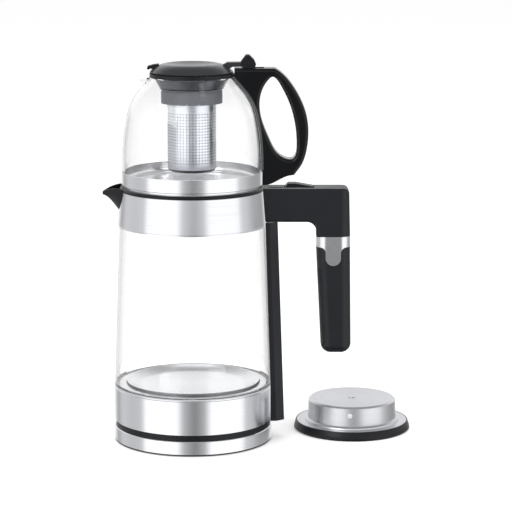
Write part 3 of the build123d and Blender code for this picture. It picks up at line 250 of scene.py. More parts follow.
# a mirrored ray goes on through the table to the studio's strips, also from behind glass
shown = addNode(tree, "ShaderNodeMixShader", None, {0: mirrored, 1: both.outputs[0], 2: gone.outputs[0]})
addNode(tree, "ShaderNodeOutputMaterial", None, {"Surface": shown.outputs[0]})
tableMesh.materials.append(laminate)
print("studio: camera, world, lamps and table")


def lacquered(tree, place, skin, sheen, looks):
    # Metal-flake lacquer, sprayed over moulded plastic above one height: it mirrors softly. A thin dark
    # band at its lower edge is painted shade, standing for the shadow line at the ledge.
    height = addNode(tree, "ShaderNodeSeparateXYZ", None, {0: place}).outputs["Z"]
    start = looks["from"] * mm
    above = addNode(tree, "ShaderNodeMath", {"operation": "GREATER_THAN"}, {0: height, 1: start})
    below = addNode(
        tree, "ShaderNodeMath", {"operation": "LESS_THAN"}, {0: height, 1: start + looks["seam"] * mm}
    )
    # painted shade: the thin band just above where the lacquer starts, dark as the shadow at the ledge
    line = addNode(
        tree, "ShaderNodeMath", {"operation": "MULTIPLY"}, {0: above.outputs[0], 1: below.outputs[0]}
    )
    coat = addNode(
        tree,
        "ShaderNodeMix",
        {"data_type": "RGBA"},
        {"Factor": above.outputs[0], "A": skin, "B": hexColour(looks["colour"])},
    )
    lined = addNode(
        tree,
        "ShaderNodeMix",
        {"data_type": "RGBA"},
        {"Factor": line.outputs[0], "A": coat.outputs["Result"], "B": hexColour(looks["dark"])},
    )
    smooth = addNode(
        tree,
        "ShaderNodeMix",
        {"data_type": "FLOAT"},
        {"Factor": above.outputs[0], "A": sheen, "B": looks["roughness"]},
    )
    flake = addNode(
        tree, "ShaderNodeMath", {"operation": "MULTIPLY"}, {0: above.outputs[0], 1: looks["metal"]}
    )
    return lined.outputs["Result"], smooth.outputs["Result"], flake.outputs[0]


noiseSpan = {"From Min": 0.3, "From Max": 0.7}  # most of a noise texture's values lie between these

# What all plastics share: lengths in mm, steps of roughness, and how far the skin bends light
plasticSkin = {"drift": 28.0, "smoother": 0.03, "rougher": 0.04, "grainDepth": 0.06, "bend": 1.46}


def mouldedPlastic(name, looks):
    # Injection-moulded plastic. Its spark-eroded tool leaves a fine even grain, which the eye reads as
    # satin; large faces cool a little unevenly, so the sheen drifts over centimetres.
    material, tree, shader, _, place = newSurface(name)
    grain = addNode(
        tree,
        "ShaderNodeTexNoise",
        {"noise_dimensions": "3D"},
        {"Vector": place, "Scale": 1 / (looks["grain"] * mm), "Detail": 2.0, "Roughness": 0.6},
    )
    drift = addNode(
        tree,
        "ShaderNodeTexNoise",
        {"noise_dimensions": "3D"},
        {"Vector": place, "Scale": 1 / (plasticSkin["drift"] * mm), "Detail": 2.0, "Roughness": 0.5},
    )
    rough = addNode(
        tree,
        "ShaderNodeMapRange",
        None,
        {
            "Value": drift.outputs["Fac"],
            **noiseSpan,
            "To Min": looks["roughness"] - plasticSkin["smoother"],
            "To Max": looks["roughness"] + plasticSkin["rougher"],
        },
    )
    tone = addNode(
        tree,
        "ShaderNodeMix",
        {"data_type": "RGBA"},
        {"Factor": grain.outputs["Fac"], "A": hexColour(looks["colour"]), "B": hexColour(looks["shade"])},
    )
    relief = addNode(
        tree,
        "ShaderNodeBump",
        None,
        {
            "Height": grain.outputs["Fac"],
            "Strength": looks["relief"],
            "Distance": plasticSkin["grainDepth"] * mm,
        },
    )
    skin, sheen = tone.outputs["Result"], rough.outputs["Result"]
    if "lacquer" in looks:
        skin, sheen, metal = lacquered(tree, place, skin, sheen, looks["lacquer"])
        tree.links.new(metal, shader.inputs["Metallic"])
    tree.links.new(skin, shader.inputs["Base Color"])
    tree.links.new(sheen, shader.inputs["Roughness"])
    tree.links.new(relief.outputs["Normal"], shader.inputs["Normal"])
    shader.inputs["IOR"].default_value = plasticSkin["bend"]
    shader.inputs["Specular IOR Level"].default_value = looks["gloss"]
    return material


# What all metals share: how long a polishing line runs and how deep it is, in mm, and its uneven sheen
steelSkin = {"along": 90.0, "lineDepth": 0.02, "spread": 0.03, "quarterTurn": 0.25}


def brushedSteel(name, looks):
    # Stainless steel, polished round its axis. Hair-thin lines run round the band, so that light is
    # drawn out upright into soft stripes. Real lines are 0.1 mm apart; they are drawn wider here to show.
    # Aluminium and brass are made in the same way.
    material, tree, shader, _, place = newSurface(name)
    split = addNode(tree, "ShaderNodeSeparateXYZ", None, {0: place})
    centre = looks.get("centre", (0.0, 0.0))
    fromX = addNode(
        tree, "ShaderNodeMath", {"operation": "SUBTRACT"}, {0: split.outputs["X"], 1: centre[0] * mm}
    )
    fromY = addNode(
        tree, "ShaderNodeMath", {"operation": "SUBTRACT"}, {0: split.outputs["Y"], 1: centre[1] * mm}
    )
    flat = addNode(tree, "ShaderNodeCombineXYZ", None, {0: fromX.outputs[0], 1: fromY.outputs[0], 2: 0.0})
    reach = addNode(tree, "ShaderNodeVectorMath", {"operation": "LENGTH"}, {0: flat.outputs[0]})
    step = addNode(
        tree, "ShaderNodeMath", {"operation": "ADD"}, {0: reach.outputs["Value"], 1: split.outputs["Z"]}
    )
    fine = addNode(
        tree, "ShaderNodeMath", {"operation": "DIVIDE"}, {0: step.outputs[0], 1: looks["line"] * mm}
    )
    slow = addNode(
        tree,
        "ShaderNodeVectorMath",
        {"operation": "SCALE"},
        {0: flat.outputs[0], "Scale": 1 / (steelSkin["along"] * mm)},
    )
    slowSplit = addNode(tree, "ShaderNodeSeparateXYZ", None, {0: slow.outputs[0]})
    lineSpace = addNode(
        tree,
        "ShaderNodeCombineXYZ",
        None,
        {0: slowSplit.outputs["X"], 1: slowSplit.outputs["Y"], 2: fine.outputs[0]},
    )
    lines = addNode(
        tree,
        "ShaderNodeTexNoise",
        {"noise_dimensions": "3D"},
        {"Vector": lineSpace.outputs[0], "Scale": 1.0, "Detail": 3.0, "Roughness": 0.6},
    )
    tone = addNode(
        tree,
        "ShaderNodeMix",
        {"data_type": "RGBA"},
        {"Factor": lines.outputs["Fac"], "A": hexColour(looks["colour"]), "B": hexColour(looks["shade"])},
    )
    rough = addNode(
        tree,
        "ShaderNodeMapRange",
        None,
        {
            "Value": lines.outputs["Fac"],
            **noiseSpan,
            "To Min": looks["roughness"] - steelSkin["spread"],
            "To Max": looks["roughness"] + steelSkin["spread"],
        },
    )
    relief = addNode(
        tree,
        "ShaderNodeBump",
        None,
        {
            "Height": lines.outputs["Fac"],
            "Strength": looks["relief"],
            "Distance": steelSkin["lineDepth"] * mm,
        },
    )
    tree.links.new(tone.outputs["Result"], shader.inputs["Base Color"])
    tree.links.new(rough.outputs["Result"], shader.inputs["Roughness"])
    tree.links.new(relief.outputs["Normal"], shader.inputs["Normal"])
    shader.inputs["Metallic"].default_value = 1.0
    shader.inputs["Anisotropic"].default_value = looks["stretch"]
    # light is drawn out across the lines
    shader.inputs["Anisotropic Rotation"].default_value = steelSkin["quarterTurn"]
    tangent = addNode(tree, "ShaderNodeTangent", {"direction_type": "RADIAL", "axis": "Z"})
    tree.links.new(tangent.outputs[0], shader.inputs["Tangent"])
    return material


glassSkin = {"relief": 0.08, "waveDepth": 0.3}  # the second in mm


def blownGlass(name, looks):
    # Borosilicate glass, blown in a mould. Clear face on and grey where the eye looks along the wall;
    # the skin waves by a few hundredths over centimetres, which bends what it mirrors.
    material, tree, shader, output, place = newSurface(name)
    wave = addNode(
        tree,
        "ShaderNodeTexNoise",
        {"noise_dimensions": "3D"},
        {"Vector": place, "Scale": 1 / (looks["wave"] * mm), "Detail": 1.0, "Roughness": 0.4},
    )
    relief = addNode(
        tree,
        "ShaderNodeBump",
        None,
        {
            "Height": wave.outputs["Fac"],
            "Strength": glassSkin["relief"],
            "Distance": glassSkin["waveDepth"] * mm,
        },
    )
    haze = addNode(
        tree,
        "ShaderNodeMapRange",
        None,
        {"Value": wave.outputs["Fac"], **noiseSpan, "To Min": 0.0, "To Max": looks["haze"]},
    )
    tree.links.new(relief.outputs["Normal"], shader.inputs["Normal"])
    tree.links.new(haze.outputs["Result"], shader.inputs["Roughness"])
    shader.inputs["Base Color"].default_value = white
    shader.inputs["IOR"].default_value = looks["bend"]
    shader.inputs["Transmission Weight"].default_value = 1.0
    depth = addNode(
        tree,
        "ShaderNodeVolumeAbsorption",
        None,
        {"Color": hexColour(looks["colour"]), "Density": looks["density"]},
    )
    tree.links.new(depth.outputs[0], output.inputs["Volume"])
    return material


rubberSkin = {"speckle": 0.8, "speckleDepth": 0.05, "relief": 0.2, "gloss": 0.35}  # the first two in mm


def siliconeRubber(name, looks):
    # Moulded silicone or rubber: matt, with a skin of dust-fine speckle.
    material, tree, shader, _, place = newSurface(name)
    speckle = addNode(
        tree,
        "ShaderNodeTexNoise",
        {"noise_dimensions": "3D"},
        {"Vector": place, "Scale": 1 / (rubberSkin["speckle"] * mm), "Detail": 3.0, "Roughness": 0.7},
    )
    tone = addNode(
        tree,
        "ShaderNodeMix",
        {"data_type": "RGBA"},
        {
            "Factor": speckle.outputs["Fac"],
            "A": hexColour(looks["colour"]),
            "B": hexColour(looks["shade"]),
        },
    )
    relief = addNode(
        tree,
        "ShaderNodeBump",
        None,
        {
            "Height": speckle.outputs["Fac"],
            "Strength": rubberSkin["relief"],
            "Distance": rubberSkin["speckleDepth"] * mm,
        },
    )
    tree.links.new(tone.outputs["Result"], shader.inputs["Base Color"])
    tree.links.new(relief.outputs["Normal"], shader.inputs["Normal"])
    shader.inputs["Roughness"].default_value = looks["roughness"]
    shader.inputs["Specular IOR Level"].default_value = rubberSkin["gloss"]
    return material


# Plastics. Grain is its width in mm, relief how strongly it stands out, gloss the strength of the sheen.
satinBlack = {  # polypropylene off a satin tool: black, with soft wide highlights
    "colour": "0D0E11", "shade": "121317", "roughness": 0.36,
    "grain": 0.7, "relief": 0.25, "gloss": 0.30,
}
gripBlack = {  # polyamide off a satin tool: a touch lighter and duller
    "colour": "111318", "shade": "15181D", "roughness": 0.40,
    "grain": 0.7, "relief": 0.25, "gloss": 0.36,
}
glossBlack = {  # ABS off a polished tool: deep black, with clear bright lines along its bends
    "colour": "08090B", "shade": "0C0D10", "roughness": 0.20,
    "grain": 1.2, "relief": 0.06, "gloss": 0.30,
}
lidGrey = {  # ABS, half polished: dark grey, with a soft mirror image of the room
    "colour": "26282B", "shade": "2B2D30", "roughness": 0.24,
    "grain": 0.7, "relief": 0.22, "gloss": 0.5,
}
collarGrey = {  # ABS, lacquered above its edge: matt grey below, soft metal above
    "colour": "5B5E63", "shade": "63666B", "roughness": 0.5,
    "grain": 0.7, "relief": 0.22, "gloss": 0.5,
    "lacquer": {
        # dark and seam: the painted shade line at the ledge, its colour and its height in mm
        "from": 331.6, "seam": 1.0, "dark": "050506",
        "colour": "6E7177", "metal": 0.95, "roughness": 0.17,
    },
}
insideBlack = {  # glass-filled polyamide: dull near-black, on parts inside
    "colour": "101113", "shade": "151618", "roughness": 0.5,
    "grain": 0.7, "relief": 0.3, "gloss": 0.35,
}
phenolic = {  # phenolic resin, pressed: dry brown-black
    "colour": "2B2826", "shade": "36312E", "roughness": 0.55,
    "grain": 0.9, "relief": 0.4, "gloss": 0.4,
}
ballWhite = {  # acetal, tumbled: smooth white with one clear highlight
    "colour": "E4E4E6", "shade": "DADADD", "roughness": 0.18,
    "grain": 1.0, "relief": 0.04, "gloss": 0.5,
}
trimGrey = {  # ABS, polished edge: catches the light as a thin grey line
    "colour": "3A3C3F", "shade": "414346", "roughness": 0.25,
    "grain": 0.9, "relief": 0.1, "gloss": 0.6,
}

# Metals. Line is the spacing of the polishing lines in mm, stretch how far they draw the light out.
bandSteel = {  # stainless, fine brushed: bright and dark stripes that run up the band
    "colour": "E6E7EA", "shade": "DADBDF", "roughness": 0.22,
    "line": 0.9, "relief": 0.10, "stretch": 0.6,
}
plateSteel = {  # stainless, pressed and wire-brushed: bright, and softer than the bands
    "colour": "E6E7E9", "shade": "DCDDE0", "roughness": 0.24,
    "line": 1.1, "relief": 0.12, "stretch": 0.4,
}
gripSteel = {  # stainless, bent and polished: clean bright faces
    "colour": "E2E3E6", "shade": "D6D7DB", "roughness": 0.22,
    "line": 0.9, "relief": 0.08, "stretch": 0.3,
}
basketSteel = {  # stainless, deep-drawn and punched: soft and a little blue
    "colour": "E2E5EC", "shade": "D6D9E1", "roughness": 0.29,
    "line": 0.8, "relief": 0.05, "stretch": 0.4,
}
insideShadeSteel = {  # stainless, painted darker as shade inside the basket, behind the holes
    "colour": "4A4C50", "shade": "3C3E42", "roughness": 0.55,
    "line": 0.8, "relief": 0.2, "stretch": 0.0,
}
lidSteel = {  # stainless, spun about the lid's own axis: even silver grey
    "colour": "D2D3D6", "shade": "C8C9CD", "roughness": 0.35,
    "line": 0.9, "relief": 0.12, "stretch": 0.15,
    "centre": lidCentre,
}
pinSteel = {  # stainless, ground: small and bright
    "colour": "C8C9CC", "shade": "BCBDC1", "roughness": 0.25,
    "line": 0.6, "relief": 0.05, "stretch": 0.0,
}
weldBurnAndShadeSteel = {  # stainless, burnt by the weld: dull grey; the same grey is painted shade on the plate's ring behind its lip
    "colour": "77797C", "shade": "5C5E61", "roughness": 0.45,
    "line": 0.5, "relief": 0.2, "stretch": 0.0,
}
castAluminium = {  # aluminium, cast: pale and matt
    "colour": "C4C6C8", "shade": "AEB0B3", "roughness": 0.42,
    "line": 1.6, "relief": 0.3, "stretch": 0.0,
}
contactBrass = {  # brass, stamped: warm yellow
    "colour": "C9A45C", "shade": "B8924C", "roughness": 0.3,
    "line": 0.8, "relief": 0.1, "stretch": 0.0,
}

# Glasses. Borosilicate bends light by 1.47; both are set lower, so that their edges stay faint.
clearGlass = {"colour": "C4C9CB", "density": 6.5, "wave": 45.0, "haze": 0.015, "bend": 1.45}
potGlass = {"colour": "BFC6CA", "density": 9.0, "wave": 40.0, "haze": 0.015, "bend": 1.42}

# Rubbers
footRubber = {"colour": "141416", "shade": "1D1D20", "roughness": 0.7}  # nitrile: dull black
sealSilicone = {"colour": "C9CBCE", "shade": "BDBFC3", "roughness": 0.5}  # silicone: milky grey
padSilicone = {"colour": "FAFAFB", "shade": "F4F4F6", "roughness": 0.30}  # silicone: clean white
leadRubber = {"colour": "1A1A1D", "shade": "242428", "roughness": 0.6}  # silicone sheath: matt black

finishes = {
    "housing": mouldedPlastic("satinHousingPlastic", satinBlack),
    "grip": mouldedPlastic("satinGripPlastic", gripBlack),
    "gloss": mouldedPlastic("glossyHandlePlastic", glossBlack),
    "lid": mouldedPlastic("greyLidPlastic", lidGrey),
    "collar": mouldedPlastic("greyInfuserPlastic", collarGrey),
    "inside": mouldedPlastic("hiddenHousingPlastic", insideBlack),
    "phenolic": mouldedPlastic("phenolicBody", phenolic),
    "ball": mouldedPlastic("whiteBallPlastic", ballWhite),
    "trim": mouldedPlastic("greyTrimPlastic", trimGrey),
    "band": brushedSteel("brushedBandSteel", bandSteel),
    "plate": brushedSteel("stampedPlateSteel", plateSteel),
    "gripBand": brushedSteel("bentGripSteel", gripSteel),
    "basket": brushedSteel("perforatedBasketSteel", basketSteel),
    "basketInside": brushedSteel("paintedShadeInsideSteel", insideShadeSteel),
    "lidSteel": brushedSteel("drawnLidSteel", lidSteel),
    "pin": brushedSteel("groundPinSteel", pinSteel),
    "weldBurnAndShade": brushedSteel("burntWeldAndShadeSteel", weldBurnAndShadeSteel),
    "aluminium": brushedSteel("castSpreaderAluminium", castAluminium),
    "brass": brushedSteel("springContactBrass", contactBrass),
    "kettleGlass": blownGlass("clearKettleGlass", clearGlass),
    "potGlass": blownGlass("clearPotGlass", potGlass),
    "foot": siliconeRubber("antiSlipRubber", footRubber),
    "seal": siliconeRubber("greySealSilicone", sealSilicone),
    "pad": siliconeRubber("whitePadSilicone", padSilicone),
    "lead": siliconeRubber("leadSheathRubber", leadRubber),
}

wears = {
    "foot_ring": "foot",
    "base_cover": "inside",
    "base_screws": "pin",
    "base_band": "band",
    "base_top": "housing",
    "cord_inlet": "housing",
    "connector_pillar": "inside",
    "base_contacts": "brass",
    "connector_socket": "inside",
    "socket_contacts": "brass",
    "bottom_cover": "housing",
    "kettle_band": "band",
    "heating_plate": "plate",
    "heat_spreader": "aluminium",
    "heating_element": "pin",
    "thermostat": "phenolic",
    "base_gasket": "seal",
    "kettle_glass": "kettleGlass",
    "collar_gasket": "seal",
    "kettle_collar": "band",
    "rim_ring": "housing",
    "spout": "housing",
    "handle_arm": "grip",
    "grip_band": "gripBand",
    "grip": "grip",
    "switch_rocker": "housing",
    "rocker_pin": "pin",
    "switch_module": "inside",
    "wire_channel": "grip",
    "switch_leads": "lead",
    "teapot_glass": "potGlass",
    "teapot_ring": "band",
    "neck_band": "housing",
    "teapot_handle": "gloss",
    "hinge_pin": "pin",
    "teapot_lid": "lid",
    "thumb_lever": "housing",
    "lid_tab": "housing",
    "lid_seal": "seal",
    "infuser_collar": "collar",
    "infuser_basket": "basket",
    "lid_rim": "housing",
    "lid_pan": "lidSteel",
    "front_nub": "ball",
    "rear_nub": "ball",
    "nub_carrier": "inside",
    "lid_rivet": "pin",
}
for nodeName, finish in wears.items():
    node = nodes[nodeName]
    for slot in node.material_slots:
        slot.material = finishes[finish]
    if not node.material_slots:
        node.data.materials.append(finishes[finish])
clearWalls = ("kettle_glass", "teapot_glass")
besideBands = (
    "handle_arm",
    "wire_channel",
    "switch_leads",
    "switch_module",
    "switch_rocker",
    "rocker_pin",
    "teapot_handle",
)
for nodeName in clearWalls:
    nodes[nodeName].visible_shadow = False  # lamp light passes the clear walls
    nodes[nodeName].visible_diffuse = False
for nodeName in besideBands:
    nodes[nodeName].visible_glossy = False  # keeps the ends of the steel bands beside the handles bright
print("finishes:", len(finishes), "on", len(wears), "nodes")


def newPiece(name, build, finish, body):
    # a mesh object at the origin that rides on a body
    mesh = bpy.data.meshes.new(name)
    build.to_mesh(mesh)
    build.free()
    mesh.materials.clear()
    mesh.materials.append(finishes[finish])
    piece = newObject(name, mesh)
    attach(piece, body)
    return piece


def latheInto(build, outline, segments):
    # turns a closed outline of (radius, height) about the main axis, poles closed
    rings = []
    for radius, height in outline:
        ring = []
        for k in range(segments if radius else 1):
            turn = 2 * math.pi * k / segments
            ring.append(build.verts.new((radius * math.sin(turn), -radius * math.cos(turn), height)))
        rings.append(ring)
    for first, second in zip(rings, rings[1:] + rings[:1]):
        for k in range(segments):
            corner = [first[k % len(first)], first[(k + 1) % len(first)]]
            corner += [second[(k + 1) % len(second)], second[k % len(second)]]
            face = list(dict.fromkeys(corner))
            if len(face) > 2:
                build.faces.new(face)


def closeSkin(build):
    # faces outwards, and shaded smooth
    bmesh.ops.recalc_face_normals(build, faces=build.faces)
    for face in build.faces:
        face.smooth = True


def turnedBuild(sizes):
    # a solid of one closed outline in mm, turned about the main axis
    build = bmesh.new()
    outline = [(radius * mm, height * mm) for radius, height in sizes["outline"]]
    latheInto(build, outline, sizes["segments"])
    closeSkin(build)
    return build


mergeGap = 0.01 * mm  # points nearer than this are one

# Infuser basket: a deep-drawn steel cup whose wall is punched in even rows of fine holes
basket = {
    "radius": 22.7,
    "wall": 0.6,
    "rows": 18,
    "columns": 48,
    "rowPitch": 2.665,
    "holeRadius": 0.62,
    "middle": 287.05,
    "top": 326.0,
    "bottom": 255.2,
    "corner": 4.0,
    "lugs": 3,
    "lugStart": -61.0,
    "lugWidth": 8.0,
    "lugRoot": 0.3,
    "lugReach": 2.3,
    "lugBottom": 323.4,
    "lugHeight": 1.8,
    "holeSides": 8,
    "cornerSteps": 6,
    "lipBevel": 0.2,
    "sharpOver": 30,
}

punch = bpy.data.node_groups.new("punchedWall", "GeometryNodeTree")
punch.is_modifier = True
punch.interface.new_socket("Geometry", in_out="INPUT", socket_type="NodeSocketGeometry")
sizeSockets = {}
for label, kind in (
    ("Rows", "NodeSocketInt"),
    ("Columns", "NodeSocketInt"),
    ("Radius", "NodeSocketFloat"),
    ("Row pitch", "NodeSocketFloat"),
    ("Hole radius", "NodeSocketFloat"),
    ("Wall", "NodeSocketFloat"),
    ("Middle", "NodeSocketFloat"),
):
    sizeSockets[label] = punch.interface.new_socket(label, in_out="INPUT", socket_type=kind).identifier
punch.interface.new_socket("Geometry", in_out="OUTPUT", socket_type="NodeSocketGeometry")
given = addNode(punch, "NodeGroupInput").outputs
# one cell: a rectangle with its hole cut out
around = addNode(
    punch, "ShaderNodeMath", {"operation": "MULTIPLY"}, {0: given["Radius"], 1: 2 * math.pi}
)
cellWidth = addNode(
    punch, "ShaderNodeMath", {"operation": "DIVIDE"}, {0: around.outputs[0], 1: given["Columns"]}
)
cellEdge = addNode(
    punch,
    "GeometryNodeCurvePrimitiveQuadrilateral",
    {"mode": "RECTANGLE"},
    {"Width": cellWidth.outputs[0], "Height": given["Row pitch"]},
)
cellHole = addNode(
    punch,
    "GeometryNodeCurvePrimitiveCircle",
    {"mode": "RADIUS"},
    {"Resolution": basket["holeSides"], "Radius": given["Hole radius"]},
)
cellOutline = addNode(punch, "GeometryNodeJoinGeometry")
punch.links.new(cellHole.outputs["Curve"], cellOutline.inputs[0])
punch.links.new(cellEdge.outputs["Curve"], cellOutline.inputs[0])
cell = addNode(punch, "GeometryNodeFillCurve", None, {"Curve": cellOutline.outputs[0]})
# the cells side by side on a flat grid
columnsLessOne = addNode(
    punch, "ShaderNodeMath", {"operation": "SUBTRACT"}, {0: given["Columns"], 1: 1.0}
)
rowsLessOne = addNode(punch, "ShaderNodeMath", {"operation": "SUBTRACT"}, {0: given["Rows"], 1: 1.0})
gridWidth = addNode(
    punch,
    "ShaderNodeMath",
    {"operation": "MULTIPLY"},
    {0: columnsLessOne.outputs[0], 1: cellWidth.outputs[0]},
)
gridHeight = addNode(
    punch, "ShaderNodeMath", {"operation": "MULTIPLY"}, {0: rowsLessOne.outputs[0], 1: given["Row pitch"]}
)
grid = addNode(
    punch,
    "GeometryNodeMeshGrid",
    None,
    {
        "Size X": gridWidth.outputs[0],
        "Size Y": gridHeight.outputs[0],
        "Vertices X": given["Columns"],
        "Vertices Y": given["Rows"],
    },
)
cells = addNode(
    punch,
    "GeometryNodeInstanceOnPoints",
    None,
    {"Points": grid.outputs["Mesh"], "Instance": cell.outputs[0]},
)
sheet = addNode(punch, "GeometryNodeRealizeInstances", None, {0: cells.outputs[0]})
# the flat sheet is rolled up round the main axis
position = addNode(punch, "GeometryNodeInputPosition")
flatPlace = addNode(punch, "ShaderNodeSeparateXYZ", None, {0: position.outputs[0]})
bend = addNode(
    punch, "ShaderNodeMath", {"operation": "DIVIDE"}, {0: flatPlace.outputs["X"], 1: given["Radius"]}
)
bendSine = addNode(punch, "ShaderNodeMath", {"operation": "SINE"}, {0: bend.outputs[0]})
bendCosine = addNode(punch, "ShaderNodeMath", {"operation": "COSINE"}, {0: bend.outputs[0]})
wrapX = addNode(
    punch, "ShaderNodeMath", {"operation": "MULTIPLY"}, {0: bendSine.outputs[0], 1: given["Radius"]}
)
wrapOut = addNode(
    punch, "ShaderNodeMath", {"operation": "MULTIPLY"}, {0: bendCosine.outputs[0], 1: given["Radius"]}
)
wrapY = addNode(punch, "ShaderNodeMath", {"operation": "MULTIPLY"}, {0: wrapOut.outputs[0], 1: -1.0})
wrapZ = addNode(
    punch, "ShaderNodeMath", {"operation": "ADD"}, {0: flatPlace.outputs["Y"], 1: given["Middle"]}
)
wrapped = addNode(
    punch, "ShaderNodeCombineXYZ", None, {0: wrapX.outputs[0], 1: wrapY.outputs[0], 2: wrapZ.outputs[0]}
)
rolled = addNode(
    punch, "GeometryNodeSetPosition", None, {"Geometry": sheet.outputs[0], "Position": wrapped.outputs[0]}
)
skin = addNode(
    punch, "GeometryNodeMergeByDistance", None, {"Geometry": rolled.outputs[0], "Distance": mergeGap}
)
# an inner skin one wall away, and the edges of the holes between the two
turned = addNode(punch, "GeometryNodeFlipFaces", None, {"Mesh": skin.outputs[0]})
lined = addNode(
    punch,
    "GeometryNodeExtrudeMesh",
    {"mode": "FACES"},
    {"Mesh": turned.outputs[0], "Offset Scale": given["Wall"], "Individual": False},
)
shell = addNode(punch, "GeometryNodeJoinGeometry")
punch.links.new(lined.outputs["Mesh"], shell.inputs[0])
punch.links.new(skin.outputs[0], shell.inputs[0])
closed = addNode(
    punch, "GeometryNodeMergeByDistance", None, {"Geometry": shell.outputs[0], "Distance": mergeGap}
)
plain = addNode(punch, "GeometryNodeRealizeInstances", None, {0: closed.outputs[0]})
steelWall = addNode(
    punch, "GeometryNodeSetMaterial", None, {"Geometry": plain.outputs[0], "Material": finishes["basket"]}
)
addNode(punch, "NodeGroupOutput", None, {0: steelWall.outputs[0]})

wallSeed = newObject("wallSeed", bpy.data.meshes.new("wallSeed"))
maker = wallSeed.modifiers.new("punchedWall", "NODES")
maker.node_group = punch
for label, value in (
    ("Rows", basket["rows"]),
    ("Columns", basket["columns"]),
    ("Radius", basket["radius"] * mm),
    ("Row pitch", basket["rowPitch"] * mm),
    ("Hole radius", basket["holeRadius"] * mm),
    ("Wall", basket["wall"] * mm),
    ("Middle", basket["middle"] * mm),
):
    maker[sizeSockets[label]] = value
bpy.context.view_layer.update()
wallMesh = bpy.data.meshes.new_from_object(wallSeed.evaluated_get(bpy.context.evaluated_depsgraph_get()))
bpy.data.objects.remove(wallSeed)

build = bmesh.new()
build.from_mesh(wallMesh)
bpy.data.meshes.remove(wallMesh)
outer = basket["radius"] * mm
wall = basket["wall"] * mm
inner = outer - wall
halfWall = basket["rows"] * basket["rowPitch"] / 2
wallTop = (basket["middle"] + halfWall) * mm
wallFoot = (basket["middle"] - halfWall) * mm
top = basket["top"] * mm
bottom = basket["bottom"] * mm
corner = basket["corner"] * mm
bevel = basket["lipBevel"] * mm
# plain lip above the holes
latheInto(
    build,
    [(outer, wallTop), (outer, top - bevel), (outer - bevel, top), (inner, top), (inner, wallTop)],
    basket["columns"],
)
# plain cup below them: out along its skin, back along the inside
cornerTurns = [math.radians(90 * k / basket["cornerSteps"]) for k in range(basket["cornerSteps"] + 1)]
cup = [(outer, wallFoot)]
for turn in cornerTurns:
    cup.append((outer - corner + corner * math.cos(turn), bottom + corner - corner * math.sin(turn)))
cup += [(0.0, bottom), (0.0, bottom + wall)]
small = corner - wall
for turn in reversed(cornerTurns):
    cup.append((outer - corner + small * math.cos(turn), bottom + corner - small * math.sin(turn)))
cup.append((inner, wallFoot))
latheInto(build, cup, basket["columns"])
bmesh.ops.remove_doubles(build, verts=build.verts, dist=mergeGap)
# bayonet lugs, curved with the wall
halfTurn = basket["lugWidth"] / 2 / basket["radius"]
lugHeights = (basket["lugBottom"], basket["lugBottom"] + basket["lugHeight"])
for k in range(basket["lugs"]):
    middle = math.radians(basket["lugStart"] + k * 360 / basket["lugs"])
    corners = []
    for reach in (basket["radius"] - basket["lugRoot"], basket["radius"] + basket["lugReach"]):
        for height in lugHeights:
            for turn in (middle - halfTurn, middle, middle + halfTurn):
                spot = (reach * mm * math.cos(turn), reach * mm * math.sin(turn), height * mm)
                corners.append(build.verts.new(spot))
    for a, b, c, d in (
        (0, 1, 4, 3),
        (1, 2, 5, 4),
        (6, 9, 10, 7),
        (7, 10, 11, 8),
        (0, 6, 7, 1),
        (1, 7, 8, 2),
        (3, 4, 10, 9),
        (4, 5, 11, 10),
        (0, 3, 9, 6),
        (2, 8, 11, 5),
    ):
        build.faces.new([corners[a], corners[b], corners[c], corners[d]])
closeSkin(build)
infuserBasket = newPiece("infuserBasket", build, "basket", "basket")
infuserBasket.data.materials.append(finishes["basketInside"])
# faces inside the wall get the darker steel: painted shade
for polygon in infuserBasket.data.polygons:
    centre = polygon.center
    if math.hypot(centre.x, centre.y) < outer - wall / 2 and centre.z > bottom + wall / 2:
        polygon.material_index = 1
infuserBasket.data.set_sharp_from_angle(angle=math.radians(basket["sharpOver"]))
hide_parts("infuser_basket")
print("basket:", len(infuserBasket.data.polygons), "faces")

# Stamped plate: a shallow dish with a rolled lip, in a trough that runs inside the glass
plate = {
    "segments": 144,
    "outline": [
        (0.0, 52.1),
        (26.0, 52.05),
        (50.4, 52.0),
        (51.8, 52.2),
        (60.3, 56.4),
        (61.0, 56.8),
        (61.8, 56.9),
        (62.4, 56.6),
        (62.6, 56.1),
        (62.7, 54.9),
        (63.1, 54.5),
        (68.8, 54.3),
        (69.5, 54.1),
        (69.9, 53.7),
        (69.9, 53.2),
        (70.1, 52.9),
        (73.9, 52.9),
        (73.9, 52.1),
        (68.2, 52.1),
        (66.8, 46.0),
        (48.0, 46.0),
        (46.2, 43.2),
        (0.0, 43.2),
    ],
    "paintedShadeRing": (62.35, 63.2, 50.0),  # inner and outer radius, and the height it lies above
    "sharpOver": 40,
}

stampedPlate = newPiece("stampedPlate", turnedBuild(plate), "plate", "kettle")
stampedPlate.data.set_sharp_from_angle(angle=math.radians(plate["sharpOver"]))
# the ring behind the lip takes the dull weld grey as painted shade
stampedPlate.data.materials.append(finishes["weldBurnAndShade"])
ringInner, ringOuter, ringFoot = plate["paintedShadeRing"]
for polygon in stampedPlate.data.polygons:
    reach = math.hypot(polygon.center.x, polygon.center.y) / mm
    if ringInner < reach < ringOuter and polygon.center.z > ringFoot * mm:
        polygon.material_index = 1
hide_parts("heating_plate")
print("plate:", len(stampedPlate.data.polygons), "faces")

# Kettle jug: blown thin, with a thicker foot and mouth where the seals grip it
jug = {
    "segments": 192,
    "outline": [
        (73.9, 53.9),
        (67.75, 211.9),
        (64.75, 211.9),
        (65.4, 206.5),
        (67.05, 204.0),
        (72.9, 55.9),
        (72.3, 54.6),
        (70.9, 53.9),
    ],
    "sharpOver": 8,  # small, so that the long wall keeps its own straight shading
}

